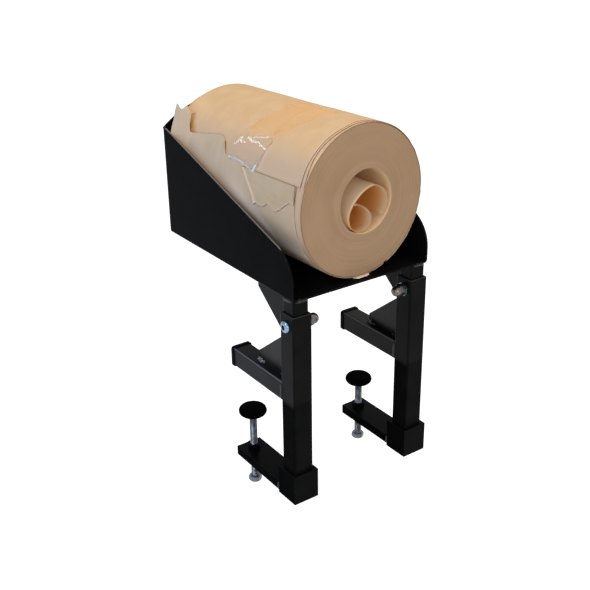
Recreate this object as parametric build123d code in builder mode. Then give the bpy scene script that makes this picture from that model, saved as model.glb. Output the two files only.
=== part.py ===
"""Table-clamp holder with an open tray for a centre-pull roll of kraft wrapping paper.

Millimetres. X runs to the right, Y away from the person at the table, +Z up.
The origin lies midway between the two legs, where the table top's front edge sits:
Z = 0 is the table top (the undersides of the upper arms) and Y = 0 is the table's
edge (the back faces of the legs).
"""
from build123d import *
from math import cos, radians, sin
import os

os.makedirs("parts", exist_ok=True)

# --- Square tubes -----------------------------------------------------------
leg_tube = 38.0             # outside of the leg tube
leg_wall = 3.2
leg_corner = 3.5            # outside corner radius
slide_gap = 0.8             # between the leg and the tube that slides in it
slide_wall = 2.0
slide_corner = 3.0
arm_tube = 36.0             # outside of the upper arm
arm_wall = 2.0
arm_corner = 3.5
smallest_inside_corner = 0.8

# --- Heights ----------------------------------------------------------------
floor_height = 194.5        # underside of the tray's floor, above the table top
leg_bottom = -187.5         # below the table top
leg_below_floor = 27.0      # the legs' tops below the tray's floor
bolt_below_leg_top = 20.0
tray_travel = 75.0          # how far the tray can be raised
slide_below_slot = 53.0     # the sliding tubes' lower ends below their slots' lower centres

# --- Tray -------------------------------------------------------------------
tray_depth = 402.0
tray_sheet = 3.0
tray_bend = 3.0             # inside radius of the floor's two bends
tray_setback = 1.5          # the tray's front edge behind the legs' front faces
leg_proud = 0.5             # the legs' outer faces beyond the tray's sides
wall_front_height = 71.7    # where the sloping edge would meet the front edge
wall_back_height = 204.0
wall_front_round = 62.0
back_arch_rise = 50.0

# --- Gussets ----------------------------------------------------------------
gusset_plate = 4.0
gusset_run = 92.5
gusset_rise = 76.5          # of the gusset under the tray
gusset_gap = 4.5            # between the upper and the lower gusset
gusset_nose_width = 15.0    # blunt end on the tube
gusset_nose_height = 17.0   # blunt end on the tray or the arm
gusset_clearance = 0.5      # between the sliding gusset and the leg tube

# --- Upper arms and their end caps ------------------------------------------
arm_length = 151.8
cap_proud = 2.0             # the plug's head around the tube's outside
cap_head = 7.0              # length of the plug's head
cap_round = 0.8
cap_spigot = 14.0           # length of the plug's part inside the tube
cap_wall = 1.8
cap_gap = 0.1

# --- Jaw: socket, flat arm, screw and pad -----------------------------------
socket_side = 50.0
socket_height = 56.5
socket_gap = 0.25           # between the socket's bore and the leg tube
bar_thickness = 18.0
bar_past_screw = 19.7       # the flat arm's end behind the screw's axis
bar_above_socket_base = 5.0
screw_reach = 124.0         # the clamp screw's axis behind the table's edge
screw_diameter = 14.0
thread_gap = 0.05           # between the screw and its nut, as plain cylinders
clamp_nut_ring = 4.0        # from the screw to the nut's flats, and to the head's
clamp_nut_height = 8.0
screw_head_height = 10.0
screw_head_drop = {"left": 51.0, "right": 50.0}     # the head's middle below the flat arm
pad_diameter = 52.0
pad_thickness = 16.5
pad_round = 5.0
pad_crown = 1.0
pad_lift = {"left": 79.25, "right": 62.25}          # the pad's middle above the flat arm
neck_diameter = 9.0
button_diameter = 13.0
button_height = 4.0
swivel_gap = 0.1
swivel_play = 0.3

# --- Leg bolts --------------------------------------------------------------
bolt_diameter = 12.0
bolt_hole = 12.6
bolt_head_diameter = 21.0
bolt_head_height = 6.6
bolt_head_round = 4.6
bolt_socket_flats = 8.0
bolt_socket_depth = 4.2
washer_diameter = 24.0
washer_thickness = 2.5
nut_flats = 19.0
nut_hex_height = 10.0
nut_height = 22.0
nut_tip_flat = 1.9          # diameter of the flat on the domed nut's tip
nut_bore_depth = 16.0
bolt_grip_past_washer = 14.0

# --- Paper roll -------------------------------------------------------------
roll_radius = 130.45
roll_length = 377.5
roll_bore_radius = 54.85
roll_bore_shift = 5.0       # the worn bore lies off the roll's axis
roll_yaw = 2.578            # degrees; the roll lies slightly askew in the tray
roll_front_x = 10.9         # centre of the roll's front face, right of the tray's middle
roll_side_gap = 9.55        # between the roll and each side wall, were it not askew
roll_back_gap = 0.7         # between the roll's rear rim and the back plate
rest_gap = 0.3
paper_layers = 0.7          # thickness of the loose windings in the bore
sheet_layers = 0.8          # thickness of the loose outer sheet
sheet_start = 62.0          # angles round the roll, from its right side upwards
sheet_end = 198.0
sheet_setback = 8.0
tape_film = 0.4
tape_start = 84.0
tape_end = 136.0
tape_front = 80.0           # the parcel tape's distance behind the roll's front face
tape_width = 76.0

# Loose inner windings: tangent arcs (radius in bore radii, degrees turned), from the bore's
# wall inwards. The start is in bore radii from the bore's centre.
curl_start = (0.72, -0.602)
curl_heading = 41.9
curl_arcs = [(0.576, 151.6), (1.13, 48.2), (0.552, 94.2), (0.41, 39.7), (0.366, 106.4), (0.702, 62.3)]

# --- Places worked out from the values above --------------------------------
sides = {"left": -1, "right": 1}
slide_tube = leg_tube - 2 * leg_wall - 2 * slide_gap
tray_width = 2 * (roll_radius + roll_side_gap + tray_sheet)
leg_spacing = tray_width + 2 * leg_proud - leg_tube
leg_axis_y = -leg_tube / 2
leg_top = floor_height - leg_below_floor
bolt_height = leg_top - bolt_below_leg_top
slide_tube_bottom = bolt_height - tray_travel - slide_below_slot
gusset_lower_rise = floor_height - gusset_rise - gusset_gap - arm_tube
tray_front = -leg_tube + tray_setback
tray_back = tray_front + tray_depth
floor_top = floor_height + tray_sheet
slide_back = leg_axis_y + slide_tube / 2
socket_back = leg_axis_y + socket_side / 2
bar_bottom = leg_bottom + bar_above_socket_base
bar_top = bar_bottom + bar_thickness
bar_reach = screw_reach + bar_past_screw
clamp_nut_flats = screw_diameter + 2 * clamp_nut_ring
roll_axis_height = floor_top + rest_gap + roll_radius
rear_rim_back = roll_length * cos(radians(roll_yaw)) + roll_radius * sin(radians(roll_yaw))
roll_front_y = tray_back - tray_sheet - roll_back_gap - rear_rim_back
roll_plane = Plane(
    origin=(roll_front_x, roll_front_y, roll_axis_height),
    x_dir=(cos(radians(roll_yaw)), sin(radians(roll_yaw)), 0),
    z_dir=(sin(radians(roll_yaw)), -cos(radians(roll_yaw)), 0),
)


def square_tube(outside, wall, corner):
    """Sketch the section of a square tube with rounded corners, centred on the plane."""
    RectangleRounded(outside, outside, corner)
    inside = outside - 2 * wall
    RectangleRounded(inside, inside, max(corner - wall, smallest_inside_corner), mode=Mode.SUBTRACT)


def save(part, label):
    """Name a finished piece and write it to its own file."""
    part.label = label
    export_step(part, f"parts/{label}.step")


# --- Tray pan: floor and two side walls folded from one sheet ---------------
with BuildPart() as tray_pan:
    with BuildSketch(Plane.XZ.offset(-tray_front)) as pan_section:
        with Locations((0, floor_height + wall_back_height / 2)):
            Rectangle(tray_width, wall_back_height)
        with Locations((0, floor_top + wall_back_height / 2)):
            Rectangle(tray_width - 2 * tray_sheet, wall_back_height, mode=Mode.SUBTRACT)
        fillet(pan_section.vertices().group_by(Axis.Y)[1], tray_bend)
        fillet(pan_section.vertices().group_by(Axis.Y)[0], tray_bend + tray_sheet)
    extrude(amount=-(tray_depth - tray_sheet))
    with BuildSketch(Plane.YZ) as side_outline:
        with BuildLine():
            wall_slope = (wall_back_height - wall_front_height) / tray_depth
            wall_end = wall_front_height + wall_slope * (tray_depth - tray_sheet)
            Polyline(
                (tray_front, floor_height),
                (tray_back - tray_sheet, floor_height),
                (tray_back - tray_sheet, floor_height + wall_end),
                (tray_front, floor_height + wall_front_height),
                close=True,
            )
        make_face()
        front_top = side_outline.vertices().group_by(Axis.X)[0].sort_by(Axis.Y)[-1]
        fillet(front_top, wall_front_round)
    extrude(amount=tray_width, both=True, mode=Mode.INTERSECT)
save(tray_pan.part, "tray_pan")

# --- Tray back plate: arched sheet behind the pan ---------------------------
with BuildPart() as tray_back_plate:
    with BuildSketch(Plane.XZ.offset(-(tray_back - tray_sheet))) as back_outline:
        half = tray_width / 2
        corner_height = floor_height + wall_back_height
        with BuildLine():
            sill = Polyline(
                (-half, corner_height), (-half, floor_height), (half, floor_height), (half, corner_height)
            )
            ThreePointArc(sill @ 1, (0, corner_height + back_arch_rise), sill @ 0)
        make_face()
        fillet(back_outline.vertices().group_by(Axis.Y)[0], tray_bend + tray_sheet)
    extrude(amount=-tray_sheet)
save(tray_back_plate.part, "tray_back_plate")

# --- Legs, arms and clamps: the same pieces on both sides -------------------
for side, sign in sides.items():
    leg_x = sign * leg_spacing / 2

    with BuildPart() as inner_tube:
        with BuildSketch(Plane(origin=(leg_x, leg_axis_y, slide_tube_bottom))):
            square_tube(slide_tube, slide_wall, slide_corner)
        extrude(amount=floor_height - slide_tube_bottom)
        with BuildSketch(Plane.YZ.offset(leg_x)):
            with Locations((leg_axis_y, bolt_height - tray_travel / 2)):
                SlotCenterToCenter(tray_travel, bolt_hole, rotation=90)
        extrude(amount=leg_tube, both=True, mode=Mode.SUBTRACT)
    save(inner_tube.part, f"inner_tube_{side}")

    with BuildPart() as upper_gusset:
        with BuildSketch(Plane.YZ.offset(leg_x)):
            with BuildLine():
                Polyline(
                    (slide_back, floor_height),
                    (slide_back + gusset_run, floor_height),
                    (slide_back + gusset_run, floor_height - gusset_nose_height),
                    (gusset_clearance + gusset_nose_width, floor_height - gusset_rise),
                    (gusset_clearance, floor_height - gusset_rise),
                    (gusset_clearance, leg_top + gusset_clearance),
                    (slide_back, leg_top + gusset_clearance),
                    close=True,
                )
            make_face()
        extrude(amount=gusset_plate / 2, both=True)
    save(upper_gusset.part, f"upper_gusset_{side}")

    with BuildPart() as outer_tube:
        with BuildSketch(Plane(origin=(leg_x, leg_axis_y, leg_bottom))):
            square_tube(leg_tube, leg_wall, leg_corner)
        extrude(amount=leg_top - leg_bottom)
        with BuildSketch(Plane.YZ.offset(leg_x)):
            with Locations((leg_axis_y, bolt_height)):
                Circle(bolt_hole / 2)
        extrude(amount=leg_tube, both=True, mode=Mode.SUBTRACT)
    save(outer_tube.part, f"outer_tube_{side}")

    with BuildPart() as upper_arm:
        with BuildSketch(Plane(origin=(leg_x, 0, arm_tube / 2), x_dir=(1, 0, 0), z_dir=(0, 1, 0))):
            square_tube(arm_tube, arm_wall, arm_corner)
        extrude(amount=arm_length)
    save(upper_arm.part, f"upper_arm_{side}")

    with BuildPart() as arm_end_cap:
        cap_plane = Plane(origin=(leg_x, arm_length, arm_tube / 2), x_dir=(1, 0, 0), z_dir=(0, 1, 0))
        with BuildSketch(cap_plane):
            head_side = arm_tube + 2 * cap_proud
            RectangleRounded(head_side, head_side, arm_corner + cap_proud)
        extrude(amount=cap_head)
        fillet(arm_end_cap.faces().sort_by(Axis.Y)[-1].edges(), cap_round)
        with BuildSketch(cap_plane):
            square_tube(arm_tube - 2 * arm_wall - 2 * cap_gap, cap_wall, arm_corner - arm_wall)
        extrude(amount=-cap_spigot)
    save(arm_end_cap.part, f"arm_end_cap_{side}")

    with BuildPart() as lower_gusset:
        with BuildSketch(Plane.YZ.offset(leg_x)):
            with BuildLine():
                Polyline(
                    (0, arm_tube),
                    (gusset_run, arm_tube),
                    (gusset_run, arm_tube + gusset_nose_height),
                    (gusset_nose_width, arm_tube + gusset_lower_rise),
                    (0, arm_tube + gusset_lower_rise),
                    close=True,
                )
            make_face()
        extrude(amount=gusset_plate / 2, both=True)
    save(lower_gusset.part, f"lower_gusset_{side}")

    with BuildPart() as jaw_socket:
        with BuildSketch(Plane(origin=(leg_x, leg_axis_y, leg_bottom))):
            Rectangle(socket_side, socket_side)
            bore = leg_tube + 2 * socket_gap
            RectangleRounded(bore, bore, leg_corner + socket_gap, mode=Mode.SUBTRACT)
        extrude(amount=socket_height)
    save(jaw_socket.part, f"jaw_socket_{side}")

    with BuildPart() as lower_arm:
        with BuildSketch(Plane(origin=(leg_x, 0, bar_bottom))):
            with Locations((0, (socket_back + bar_reach) / 2)):
                Rectangle(socket_side, bar_reach - socket_back)
            with Locations((0, screw_reach)):
                Circle(screw_diameter / 2 + thread_gap, mode=Mode.SUBTRACT)
        extrude(amount=bar_thickness)
    save(lower_arm.part, f"lower_arm_{side}")

    with BuildPart() as clamp_nut:
        with BuildSketch(Plane(origin=(leg_x, screw_reach, bar_top))):
            RegularPolygon(clamp_nut_flats / 2, 6, major_radius=False)
            Circle(screw_diameter / 2 + thread_gap, mode=Mode.SUBTRACT)
        extrude(amount=clamp_nut_height)
    save(clamp_nut.part, f"clamp_nut_{side}")

    pad_bottom = bar_top + pad_lift[side] - pad_thickness / 2
    swivel_floor = pad_bottom + pad_round
    with BuildPart() as clamp_pad:
        pad_plane = Plane(origin=(leg_x, screw_reach, pad_bottom), x_dir=(1, 0, 0), z_dir=(0, -1, 0))
        with BuildSketch(pad_plane):
            rim = pad_diameter / 2
            shoulder = pad_thickness - pad_crown
            with BuildLine():
                base = Line((0, 0), (rim - pad_round, 0))
                lower = TangentArc(base @ 1, (rim, pad_round), tangent=base % 1)
                flank = Line(lower @ 1, (rim, shoulder - pad_round))
                upper = TangentArc(flank @ 1, (rim - pad_round, shoulder), tangent=flank % 1)
                TangentArc((0, pad_thickness), upper @ 1, tangent=(1, 0))
                Line((0, pad_thickness), (0, 0))
            make_face()
        revolve(axis=Axis((leg_x, screw_reach, 0), (0, 0, 1)))
        with BuildSketch(Plane(origin=(leg_x, screw_reach, pad_bottom))):
            Circle(neck_diameter / 2 + swivel_gap)
        extrude(amount=pad_round, mode=Mode.SUBTRACT)
        with BuildSketch(Plane(origin=(leg_x, screw_reach, swivel_floor))):
            Circle(button_diameter / 2 + swivel_gap)
        extrude(amount=button_height + 2 * swivel_play, mode=Mode.SUBTRACT)
    save(clamp_pad.part, f"clamp_pad_{side}")

    shank_top = pad_bottom - swivel_play
    head_bottom = bar_bottom - screw_head_drop[side] - screw_head_height / 2
    with BuildPart() as clamp_screw:
        with BuildSketch(Plane(origin=(leg_x, screw_reach, head_bottom))):
            RegularPolygon(clamp_nut_flats / 2, 6, major_radius=False)
        extrude(amount=screw_head_height)
        with BuildSketch(Plane(origin=(leg_x, screw_reach, head_bottom))):
            Circle(screw_diameter / 2)
        extrude(amount=shank_top - head_bottom)
        with BuildSketch(Plane(origin=(leg_x, screw_reach, shank_top))):
            Circle(neck_diameter / 2)
        extrude(amount=swivel_floor + swivel_play - shank_top)
        with BuildSketch(Plane(origin=(leg_x, screw_reach, swivel_floor + swivel_play))):
            Circle(button_diameter / 2)
        extrude(amount=button_height)
    save(clamp_screw.part, f"clamp_screw_{side}")

    # The bolt runs along X: its head on the leg's outer side, its nut on the inner side.
    outer_side = Plane(
        origin=(leg_x + sign * leg_tube / 2, leg_axis_y, bolt_height), x_dir=(0, 1, 0), z_dir=(sign, 0, 0)
    )
    inner_side = Plane(
        origin=(leg_x - sign * leg_tube / 2, leg_axis_y, bolt_height), x_dir=(0, 1, 0), z_dir=(-sign, 0, 0)
    )
    with BuildPart() as leg_bolt:
        with BuildSketch(outer_side):
            Circle(bolt_head_diameter / 2)
        extrude(amount=bolt_head_height)
        head_rim = leg_bolt.edges().filter_by(GeomType.CIRCLE).sort_by(Axis.X)[-1 if sign > 0 else 0]
        fillet(head_rim, bolt_head_round)
        with BuildSketch(outer_side.offset(bolt_head_height)):
            RegularPolygon(bolt_socket_flats / 2, 6, major_radius=False)
        extrude(amount=-bolt_socket_depth, mode=Mode.SUBTRACT)
        with BuildSketch(outer_side):
            Circle(bolt_diameter / 2)
        extrude(amount=-(leg_tube + washer_thickness + bolt_grip_past_washer))
    save(leg_bolt.part, f"leg_bolt_{side}")

    with BuildPart() as leg_washer:
        with BuildSketch(inner_side):
            Circle(washer_diameter / 2)
            Circle(bolt_hole / 2, mode=Mode.SUBTRACT)
        extrude(amount=washer_thickness)
    save(leg_washer.part, f"leg_washer_{side}")

    with BuildPart() as leg_nut:
        nut_base = inner_side.offset(washer_thickness)
        with BuildSketch(nut_base):
            RegularPolygon(nut_flats / 2, 6, major_radius=False)
        extrude(amount=nut_hex_height)
        with BuildSketch(nut_base.offset(nut_hex_height)):
            Circle(nut_flats / 2)
        extrude(amount=nut_height - nut_hex_height)
        dome_rim = leg_nut.edges().filter_by(GeomType.CIRCLE).sort_by(Axis.X)[0 if sign > 0 else -1]
        fillet(dome_rim, (nut_flats - nut_tip_flat) / 2)
        with BuildSketch(nut_base):
            Circle(bolt_diameter / 2 + thread_gap)
        extrude(amount=nut_bore_depth, mode=Mode.SUBTRACT)
    save(leg_nut.part, f"leg_nut_{side}")

# --- Paper roll: coreless, with its bore worn to one side -------------------
with BuildPart() as paper_roll:
    with BuildSketch(roll_plane):
        Circle(roll_radius)
        with Locations((roll_bore_shift, 0)):
            Circle(roll_bore_radius, mode=Mode.SUBTRACT)
    extrude(amount=-roll_length)
save(paper_roll.part, "paper_roll")

# --- Loose inner windings: one strip curling inwards through the bore -------
with BuildPart() as centre_curl:
    with BuildSketch(roll_plane):
        with BuildLine():
            point = (roll_bore_shift + curl_start[0] * roll_bore_radius, curl_start[1] * roll_bore_radius)
            heading = (cos(radians(curl_heading)), sin(radians(curl_heading)))
            for radius, turn in curl_arcs:
                arc = JernArc(point, heading, radius * roll_bore_radius, turn)
                point = arc @ 1
                heading = arc % 1
        trace(line_width=paper_layers)
    extrude(amount=-roll_length)
save(centre_curl.part, "centre_curl")

# --- Loose outer sheet and parcel tape: thin layers lying round the roll -----
sheet_inside = roll_radius + rest_gap
tape_inside = sheet_inside + sheet_layers + rest_gap
layers = {
    "outer_sheet": (sheet_inside, sheet_layers, sheet_start, sheet_end, sheet_setback,
                    roll_length - 2 * sheet_setback),
    "parcel_tape": (tape_inside, tape_film, tape_start, tape_end, tape_front, tape_width),
}
for label, (inside, thickness, start, end, front, width) in layers.items():
    with BuildPart() as layer:
        with BuildSketch(roll_plane.offset(-front)):
            with BuildLine():
                inner = CenterArc((0, 0), inside, start, end - start)
                outer = CenterArc((0, 0), inside + thickness, start, end - start)
                Line(inner @ 0, outer @ 0)
                Line(inner @ 1, outer @ 1)
            make_face()
        extrude(amount=-width)
    save(layer.part, label)
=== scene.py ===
"""Looks of a table-clamp holder with a centre-pull roll of kraft wrapping paper.

Sizes in the classes are millimetres in the row frame: X to the right, Y away over the table, +Z up.
They become metres when a mesh is made. A place on the paper roll is given as millimetres behind the
roll's front face and degrees round it, counted from its right side upwards.
"""
import logging
import math
from collections.abc import Iterable
from dataclasses import dataclass, field
from enum import Enum
from typing import ClassVar

import bpy
import numpy as np
from mathutils import Matrix, Vector


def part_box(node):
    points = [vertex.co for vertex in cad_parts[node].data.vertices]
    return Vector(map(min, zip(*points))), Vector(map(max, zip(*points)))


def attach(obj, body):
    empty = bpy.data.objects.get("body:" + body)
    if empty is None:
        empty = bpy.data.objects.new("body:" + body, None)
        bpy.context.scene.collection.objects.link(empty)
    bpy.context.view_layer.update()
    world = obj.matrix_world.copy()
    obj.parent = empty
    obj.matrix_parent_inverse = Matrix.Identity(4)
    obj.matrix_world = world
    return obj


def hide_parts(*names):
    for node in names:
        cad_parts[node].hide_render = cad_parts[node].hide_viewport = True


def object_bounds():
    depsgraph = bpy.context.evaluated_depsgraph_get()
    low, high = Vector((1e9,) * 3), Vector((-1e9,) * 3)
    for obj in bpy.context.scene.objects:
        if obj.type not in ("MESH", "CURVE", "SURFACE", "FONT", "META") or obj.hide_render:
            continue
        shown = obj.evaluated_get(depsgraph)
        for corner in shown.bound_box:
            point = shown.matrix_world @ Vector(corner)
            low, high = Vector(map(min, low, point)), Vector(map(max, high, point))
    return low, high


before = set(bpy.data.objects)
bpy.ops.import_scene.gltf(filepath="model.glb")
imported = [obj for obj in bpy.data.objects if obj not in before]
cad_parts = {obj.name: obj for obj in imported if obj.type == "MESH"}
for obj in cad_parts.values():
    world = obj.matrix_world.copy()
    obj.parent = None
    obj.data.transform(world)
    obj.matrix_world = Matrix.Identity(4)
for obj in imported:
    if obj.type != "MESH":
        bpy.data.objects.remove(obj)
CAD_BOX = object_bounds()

LOG = logging.getLogger("paper_roll_holder")
MM = 0.001
FULL_TURN = 2 * math.pi
ROLL_YAW = 2.578            # degrees that the roll lies askew
DEGREE_ARC = 2.28           # one degree round the roll, in millimetres
WAVE_ARC = 2.3              # the same, rounded, where slow waves run round the roll
SHEET_TOP = 158.0           # where the torn outer sheet starts, in degrees round the roll
SHEET_END = 262.0           # and where it ends, underneath
FRONT_SHEET_END = 159.2     # where the front sheet ends, over the torn one

Array = np.ndarray
Tree = bpy.types.NodeTree
Socket = bpy.types.NodeSocket
Outline = list[tuple[float, float]]


class Body(Enum):
    """The bodies that new pieces ride on."""

    LEFT_CLAMP = "left_clamp"
    RIGHT_CLAMP = "right_clamp"
    TRAY = "tray"
    ROLL = "roll"
    LEFT_PAD = "left_pad"
    RIGHT_PAD = "right_pad"
    LEFT_SCREW = "left_screw"
    RIGHT_SCREW = "right_screw"


class Slot(Enum):
    """The record's material slots."""

    POWDER_COAT = "black_powder_coat"
    RUBBER = "pad_rubber"
    ZINC = "zinc_plated_steel"
    PAPER = "kraft_paper"
    TAPE = "parcel_tape"


class Side(Enum):
    """The two clamps, with the direction of each along X."""

    LEFT = -1
    RIGHT = 1

    @property
    def word(self) -> str:
        """The side's name as the CAD nodes have it."""
        return self.name.lower()

    @property
    def clamp(self) -> Body:
        """The body of this side's clamp."""
        return Body(f"{self.word}_clamp")

    @property
    def screw(self) -> Body:
        """The body of this side's clamp screw."""
        return Body(f"{self.word}_screw")

    @property
    def pad(self) -> Body:
        """The body of this side's pad."""
        return Body(f"{self.word}_pad")


def linear(colour: str) -> tuple[float, float, float, float]:
    """Turn an sRGB hex colour into linear RGB with alpha 1.

    Args:
        colour: The colour, as in "#d9b68a".

    Returns:
        Red, green, blue and alpha.
    """
    channels = [int(colour[i : i + 2], 16) / 255 for i in (1, 3, 5)]
    red, green, blue = (c / 12.92 if c <= 0.04045 else ((c + 0.055) / 1.055) ** 2.4 for c in channels)
    return red, green, blue, 1.0


def add_node(
    tree: Tree, kind: str, inputs: dict | None = None, output: str | None = None, **settings
) -> Socket | None:
    """Add a node, with its settings, and fill or link its inputs.

    Args:
        tree: The node tree.
        kind: The node's type, without the word ShaderNode.
        inputs: Values or output sockets by input name or number.
        output: Which output is wanted, if not the first one in use.
        settings: The node's own properties.

    Returns:
        The wanted output, or None if the node has no outputs.
    """
    node = tree.nodes.new(f"ShaderNode{kind}")
    for name, value in settings.items():
        setattr(node, name, value)
    for name, value in (inputs or {}).items():
        socket = node.inputs[name]
        if isinstance(value, Socket):
            tree.links.new(value, socket)
        else:
            socket.default_value = value
    if output is not None:
        return node.outputs[output]
    return next((socket for socket in node.outputs if socket.enabled), None)


def empty_tree(owner: bpy.types.Material | bpy.types.World) -> Tree:
    """Give a material or the world an empty node tree."""
    owner.use_nodes = True
    owner.node_tree.nodes.clear()
    return owner.node_tree


def add_object(name: str, data: bpy.types.ID) -> bpy.types.Object:
    """Make an object of a mesh, a light or a camera, and link it to the scene."""
    made = bpy.data.objects.new(name, data)
    bpy.context.scene.collection.objects.link(made)
    return made


def smooth_step(value: Array, start: float, end: float) -> Array:
    """Rise from 0 at start to 1 at end, level at both: 3t^2 - 2t^3."""
    t = np.clip((value - start) / (end - start), 0, 1)
    return t * t * (3 - 2 * t)


def band(value: Array, rise: float, full: float, fall: float, end: float) -> Array:
    """Rise smoothly from 0 to 1 between rise and full, and fall to 0 between fall and end."""
    return smooth_step(value, rise, full) * (1 - smooth_step(value, fall, end))


def near(off: Array, width: float | Array) -> Array:
    """Give 1 where a distance is 0, falling to 1/e at the width: a bell curve."""
    return np.exp(-((off / width) ** 2))


def waves(a: Array, b: Array | float, seed: int, size: float, count: int = 14) -> Array:
    """Work out a smooth random surface: a sum of sine waves in random directions.

    Args:
        a: First coordinate, in millimetres.
        b: Second coordinate, in millimetres.
        seed: Which surface.
        size: The waves' middle length.
        count: How many waves are summed.

    Returns:
        Heights with a spread of about 0.7 round 0.
    """
    random = np.random.default_rng(seed)
    total = np.zeros(np.broadcast(a, b).shape)
    for _ in range(count):
        turn, phase = random.uniform(0, FULL_TURN, 2)
        length = size * random.uniform(0.6, 1.7)
        total += np.sin(FULL_TURN * (a * math.cos(turn) + b * math.sin(turn)) / length + phase)
    return total / math.sqrt(count)


def follow(at: Array, points: Outline) -> Array:
    """Read an outline given as (place, value) points in rising order of place."""
    places, values = zip(*points)
    return np.interp(at, places, values)


def unit_grid(rows: int, columns: int) -> tuple[Array, Array]:
    """Count from 0 to 1 down a column and along a row, for the points of a sheet."""
    return np.linspace(0, 1, rows)[:, None], np.linspace(0, 1, columns)[None, :]


def cad_box(node: str) -> tuple[Array, Array]:
    """Read the lowest and the highest corner of a CAD node's box, in millimetres."""
    low, high = (np.array(corner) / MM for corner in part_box(node))
    return low, high


# --- Finishes ---------------------------------------------------------------


@dataclass(frozen=True)
class Finish:
    """A real surface finish. A subclass says what it is made of and builds its shader."""

    name: str

    def shade(self, tree: Tree) -> Socket:
        """Build the finish's nodes and return the shader's output."""
        raise NotImplementedError

    def lay_colours(self, tree: Tree, colour: str, layers: Iterable[tuple]) -> Socket:
        """Lay colours over a first one, each with a share that grows over a range of its pattern's value.

        Args:
            tree: The node tree.
            colour: The first colour.
            layers: For each its pattern, the range's start and end, the share at the end and its colour.

        Returns:
            The colour that shows.
        """
        shown = linear(colour)
        for pattern, start, end, full, layer in layers:
            inputs = {"Value": pattern, "From Min": start, "From Max": end, "To Max": full}
            share = add_node(tree, "MapRange", inputs)
            shown = add_node(tree, "Mix", {0: share, 6: shown, 7: linear(layer)}, data_type="RGBA")
        return shown

    def material(self) -> bpy.types.Material:
        """Make the material, or return it if it is there already."""
        made = bpy.data.materials.get(self.name)
        if made is None:
            made = bpy.data.materials.new(self.name)
            tree = empty_tree(made)
            add_node(tree, "OutputMaterial", {"Surface": self.shade(tree)})
        return made


@dataclass(frozen=True)
class PowderCoat(Finish):
    """Black polyester powder, sprayed and baked on steel.

    A satin skin with fine orange peel. Its edges are painted lighter: a painted highlight, partly where the
    coat thins out on cut edges.
    """

    colour: str = "#0b0b0a"
    dusty_colour: str = "#131210"
    # painted highlight on edges, partly where the coat thins
    edge_highlight_colour: str = "#55524e"
    peel: float = 1.3           # size of the orange peel
    roughness: float = 0.3
    gloss: float = 0.035
    edge_radius: float = 1.0
    glint_share: float = 0.0          # share of the skin with light grey flecks: painted glints, where the coat is also thin over rough metal
    glint_colour: str = "#8f8e8c"
    highlight_facing: tuple[float, float, float] = (0.0, 0.0, 0.0)    # the way that faces with a painted highlight point
    highlight_range: tuple[float, float] = (0.86, 0.97)
    highlight_colour: str = "#5c5c60"
    dull_below: float | None = None     # height, in millimetres, under which the left side is less glossy
    dull_fade: float = 12.0             # how far below it the gloss dies out

    def shade(self, tree: Tree) -> Socket:
        """Dust in clouds, orange peel as bump, and painted highlights: on edges, on faces that point a given
        way and in light flecks.
        """
        place = add_node(tree, "TexCoord", output="Object")
        flat = add_node(tree, "NewGeometry", output="Normal")
        edge = add_node(tree, "Bevel", {"Radius": self.edge_radius * MM}, samples=4)
        peel = add_node(tree, "TexNoise", {"Vector": place, "Scale": 1 / (self.peel * MM), "Detail": 2.0})
        cloud = add_node(tree, "TexNoise", {"Vector": place, "Scale": 22.0, "Detail": 4.0})
        # Light grey flecks: painted glints on the weld lumps, partly where the coat is thin.
        spatter = add_node(tree, "TexNoise", {"Vector": place, "Scale": 520.0, "Detail": 1.0})
        # Painted highlight on edges, where the bevelled normal turns away from the face's own.
        turn = add_node(tree, "VectorMath", {0: edge, 1: flat}, operation="DOT_PRODUCT")
        # Painted highlight on faces that point the given way.
        facing = add_node(tree, "VectorMath", {0: flat, 1: self.highlight_facing}, operation="DOT_PRODUCT")
        coat = self.lay_colours(
            tree,
            self.colour,
            [
                (cloud, 0.4, 0.7, 1.0, self.dusty_colour),
                (turn, 0.97, 0.8, 0.55, self.edge_highlight_colour),
                (spatter, 0.5, 0.6, self.glint_share, self.glint_colour),
                (facing, *self.highlight_range, 1.0, self.highlight_colour),
            ],
        )
        least, most = self.roughness - 0.06, self.roughness + 0.12
        rough = add_node(tree, "MapRange", {"Value": cloud, "To Min": least, "To Max": most})
        relief = {"Strength": 0.35, "Distance": 0.06 * MM, "Height": peel}
        bump = add_node(tree, "Bump", {**relief, "Normal": edge})
        inputs = {"Base Color": coat, "Roughness": rough, "Specular IOR Level": self.gloss, "Normal": bump}
        if self.dull_below is not None:
            inputs["Specular IOR Level"] = self.uneven_gloss(tree, place, flat)
        return add_node(tree, "BsdfPrincipled", inputs)

    def uneven_gloss(self, tree: Tree, place: Socket, flat: Socket) -> Socket:
        """Take the gloss off the left side under a height, and half of it off the lower part of the rest.

        Args:
            tree: The node tree.
            place: The Object coordinates.
            flat: The face's normal.

        Returns:
            The gloss.
        """
        height = add_node(tree, "SeparateXYZ", {"Vector": place}, "Z")
        sideways = add_node(tree, "SeparateXYZ", {"Vector": flat}, "X")
        low, high = (self.dull_below - self.dull_fade) * MM, self.dull_below * MM
        upper = {"Value": height, "From Min": low, "From Max": high, "To Min": 0.001, "To Max": self.gloss}
        other = {"Value": sideways, "From Min": -0.8, "From Max": -0.4, "To Max": 0.5 * self.gloss}
        ranges = [add_node(tree, "MapRange", inputs) for inputs in (upper, other)]
        return add_node(tree, "Math", dict(enumerate(ranges)), operation="MAXIMUM")


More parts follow.
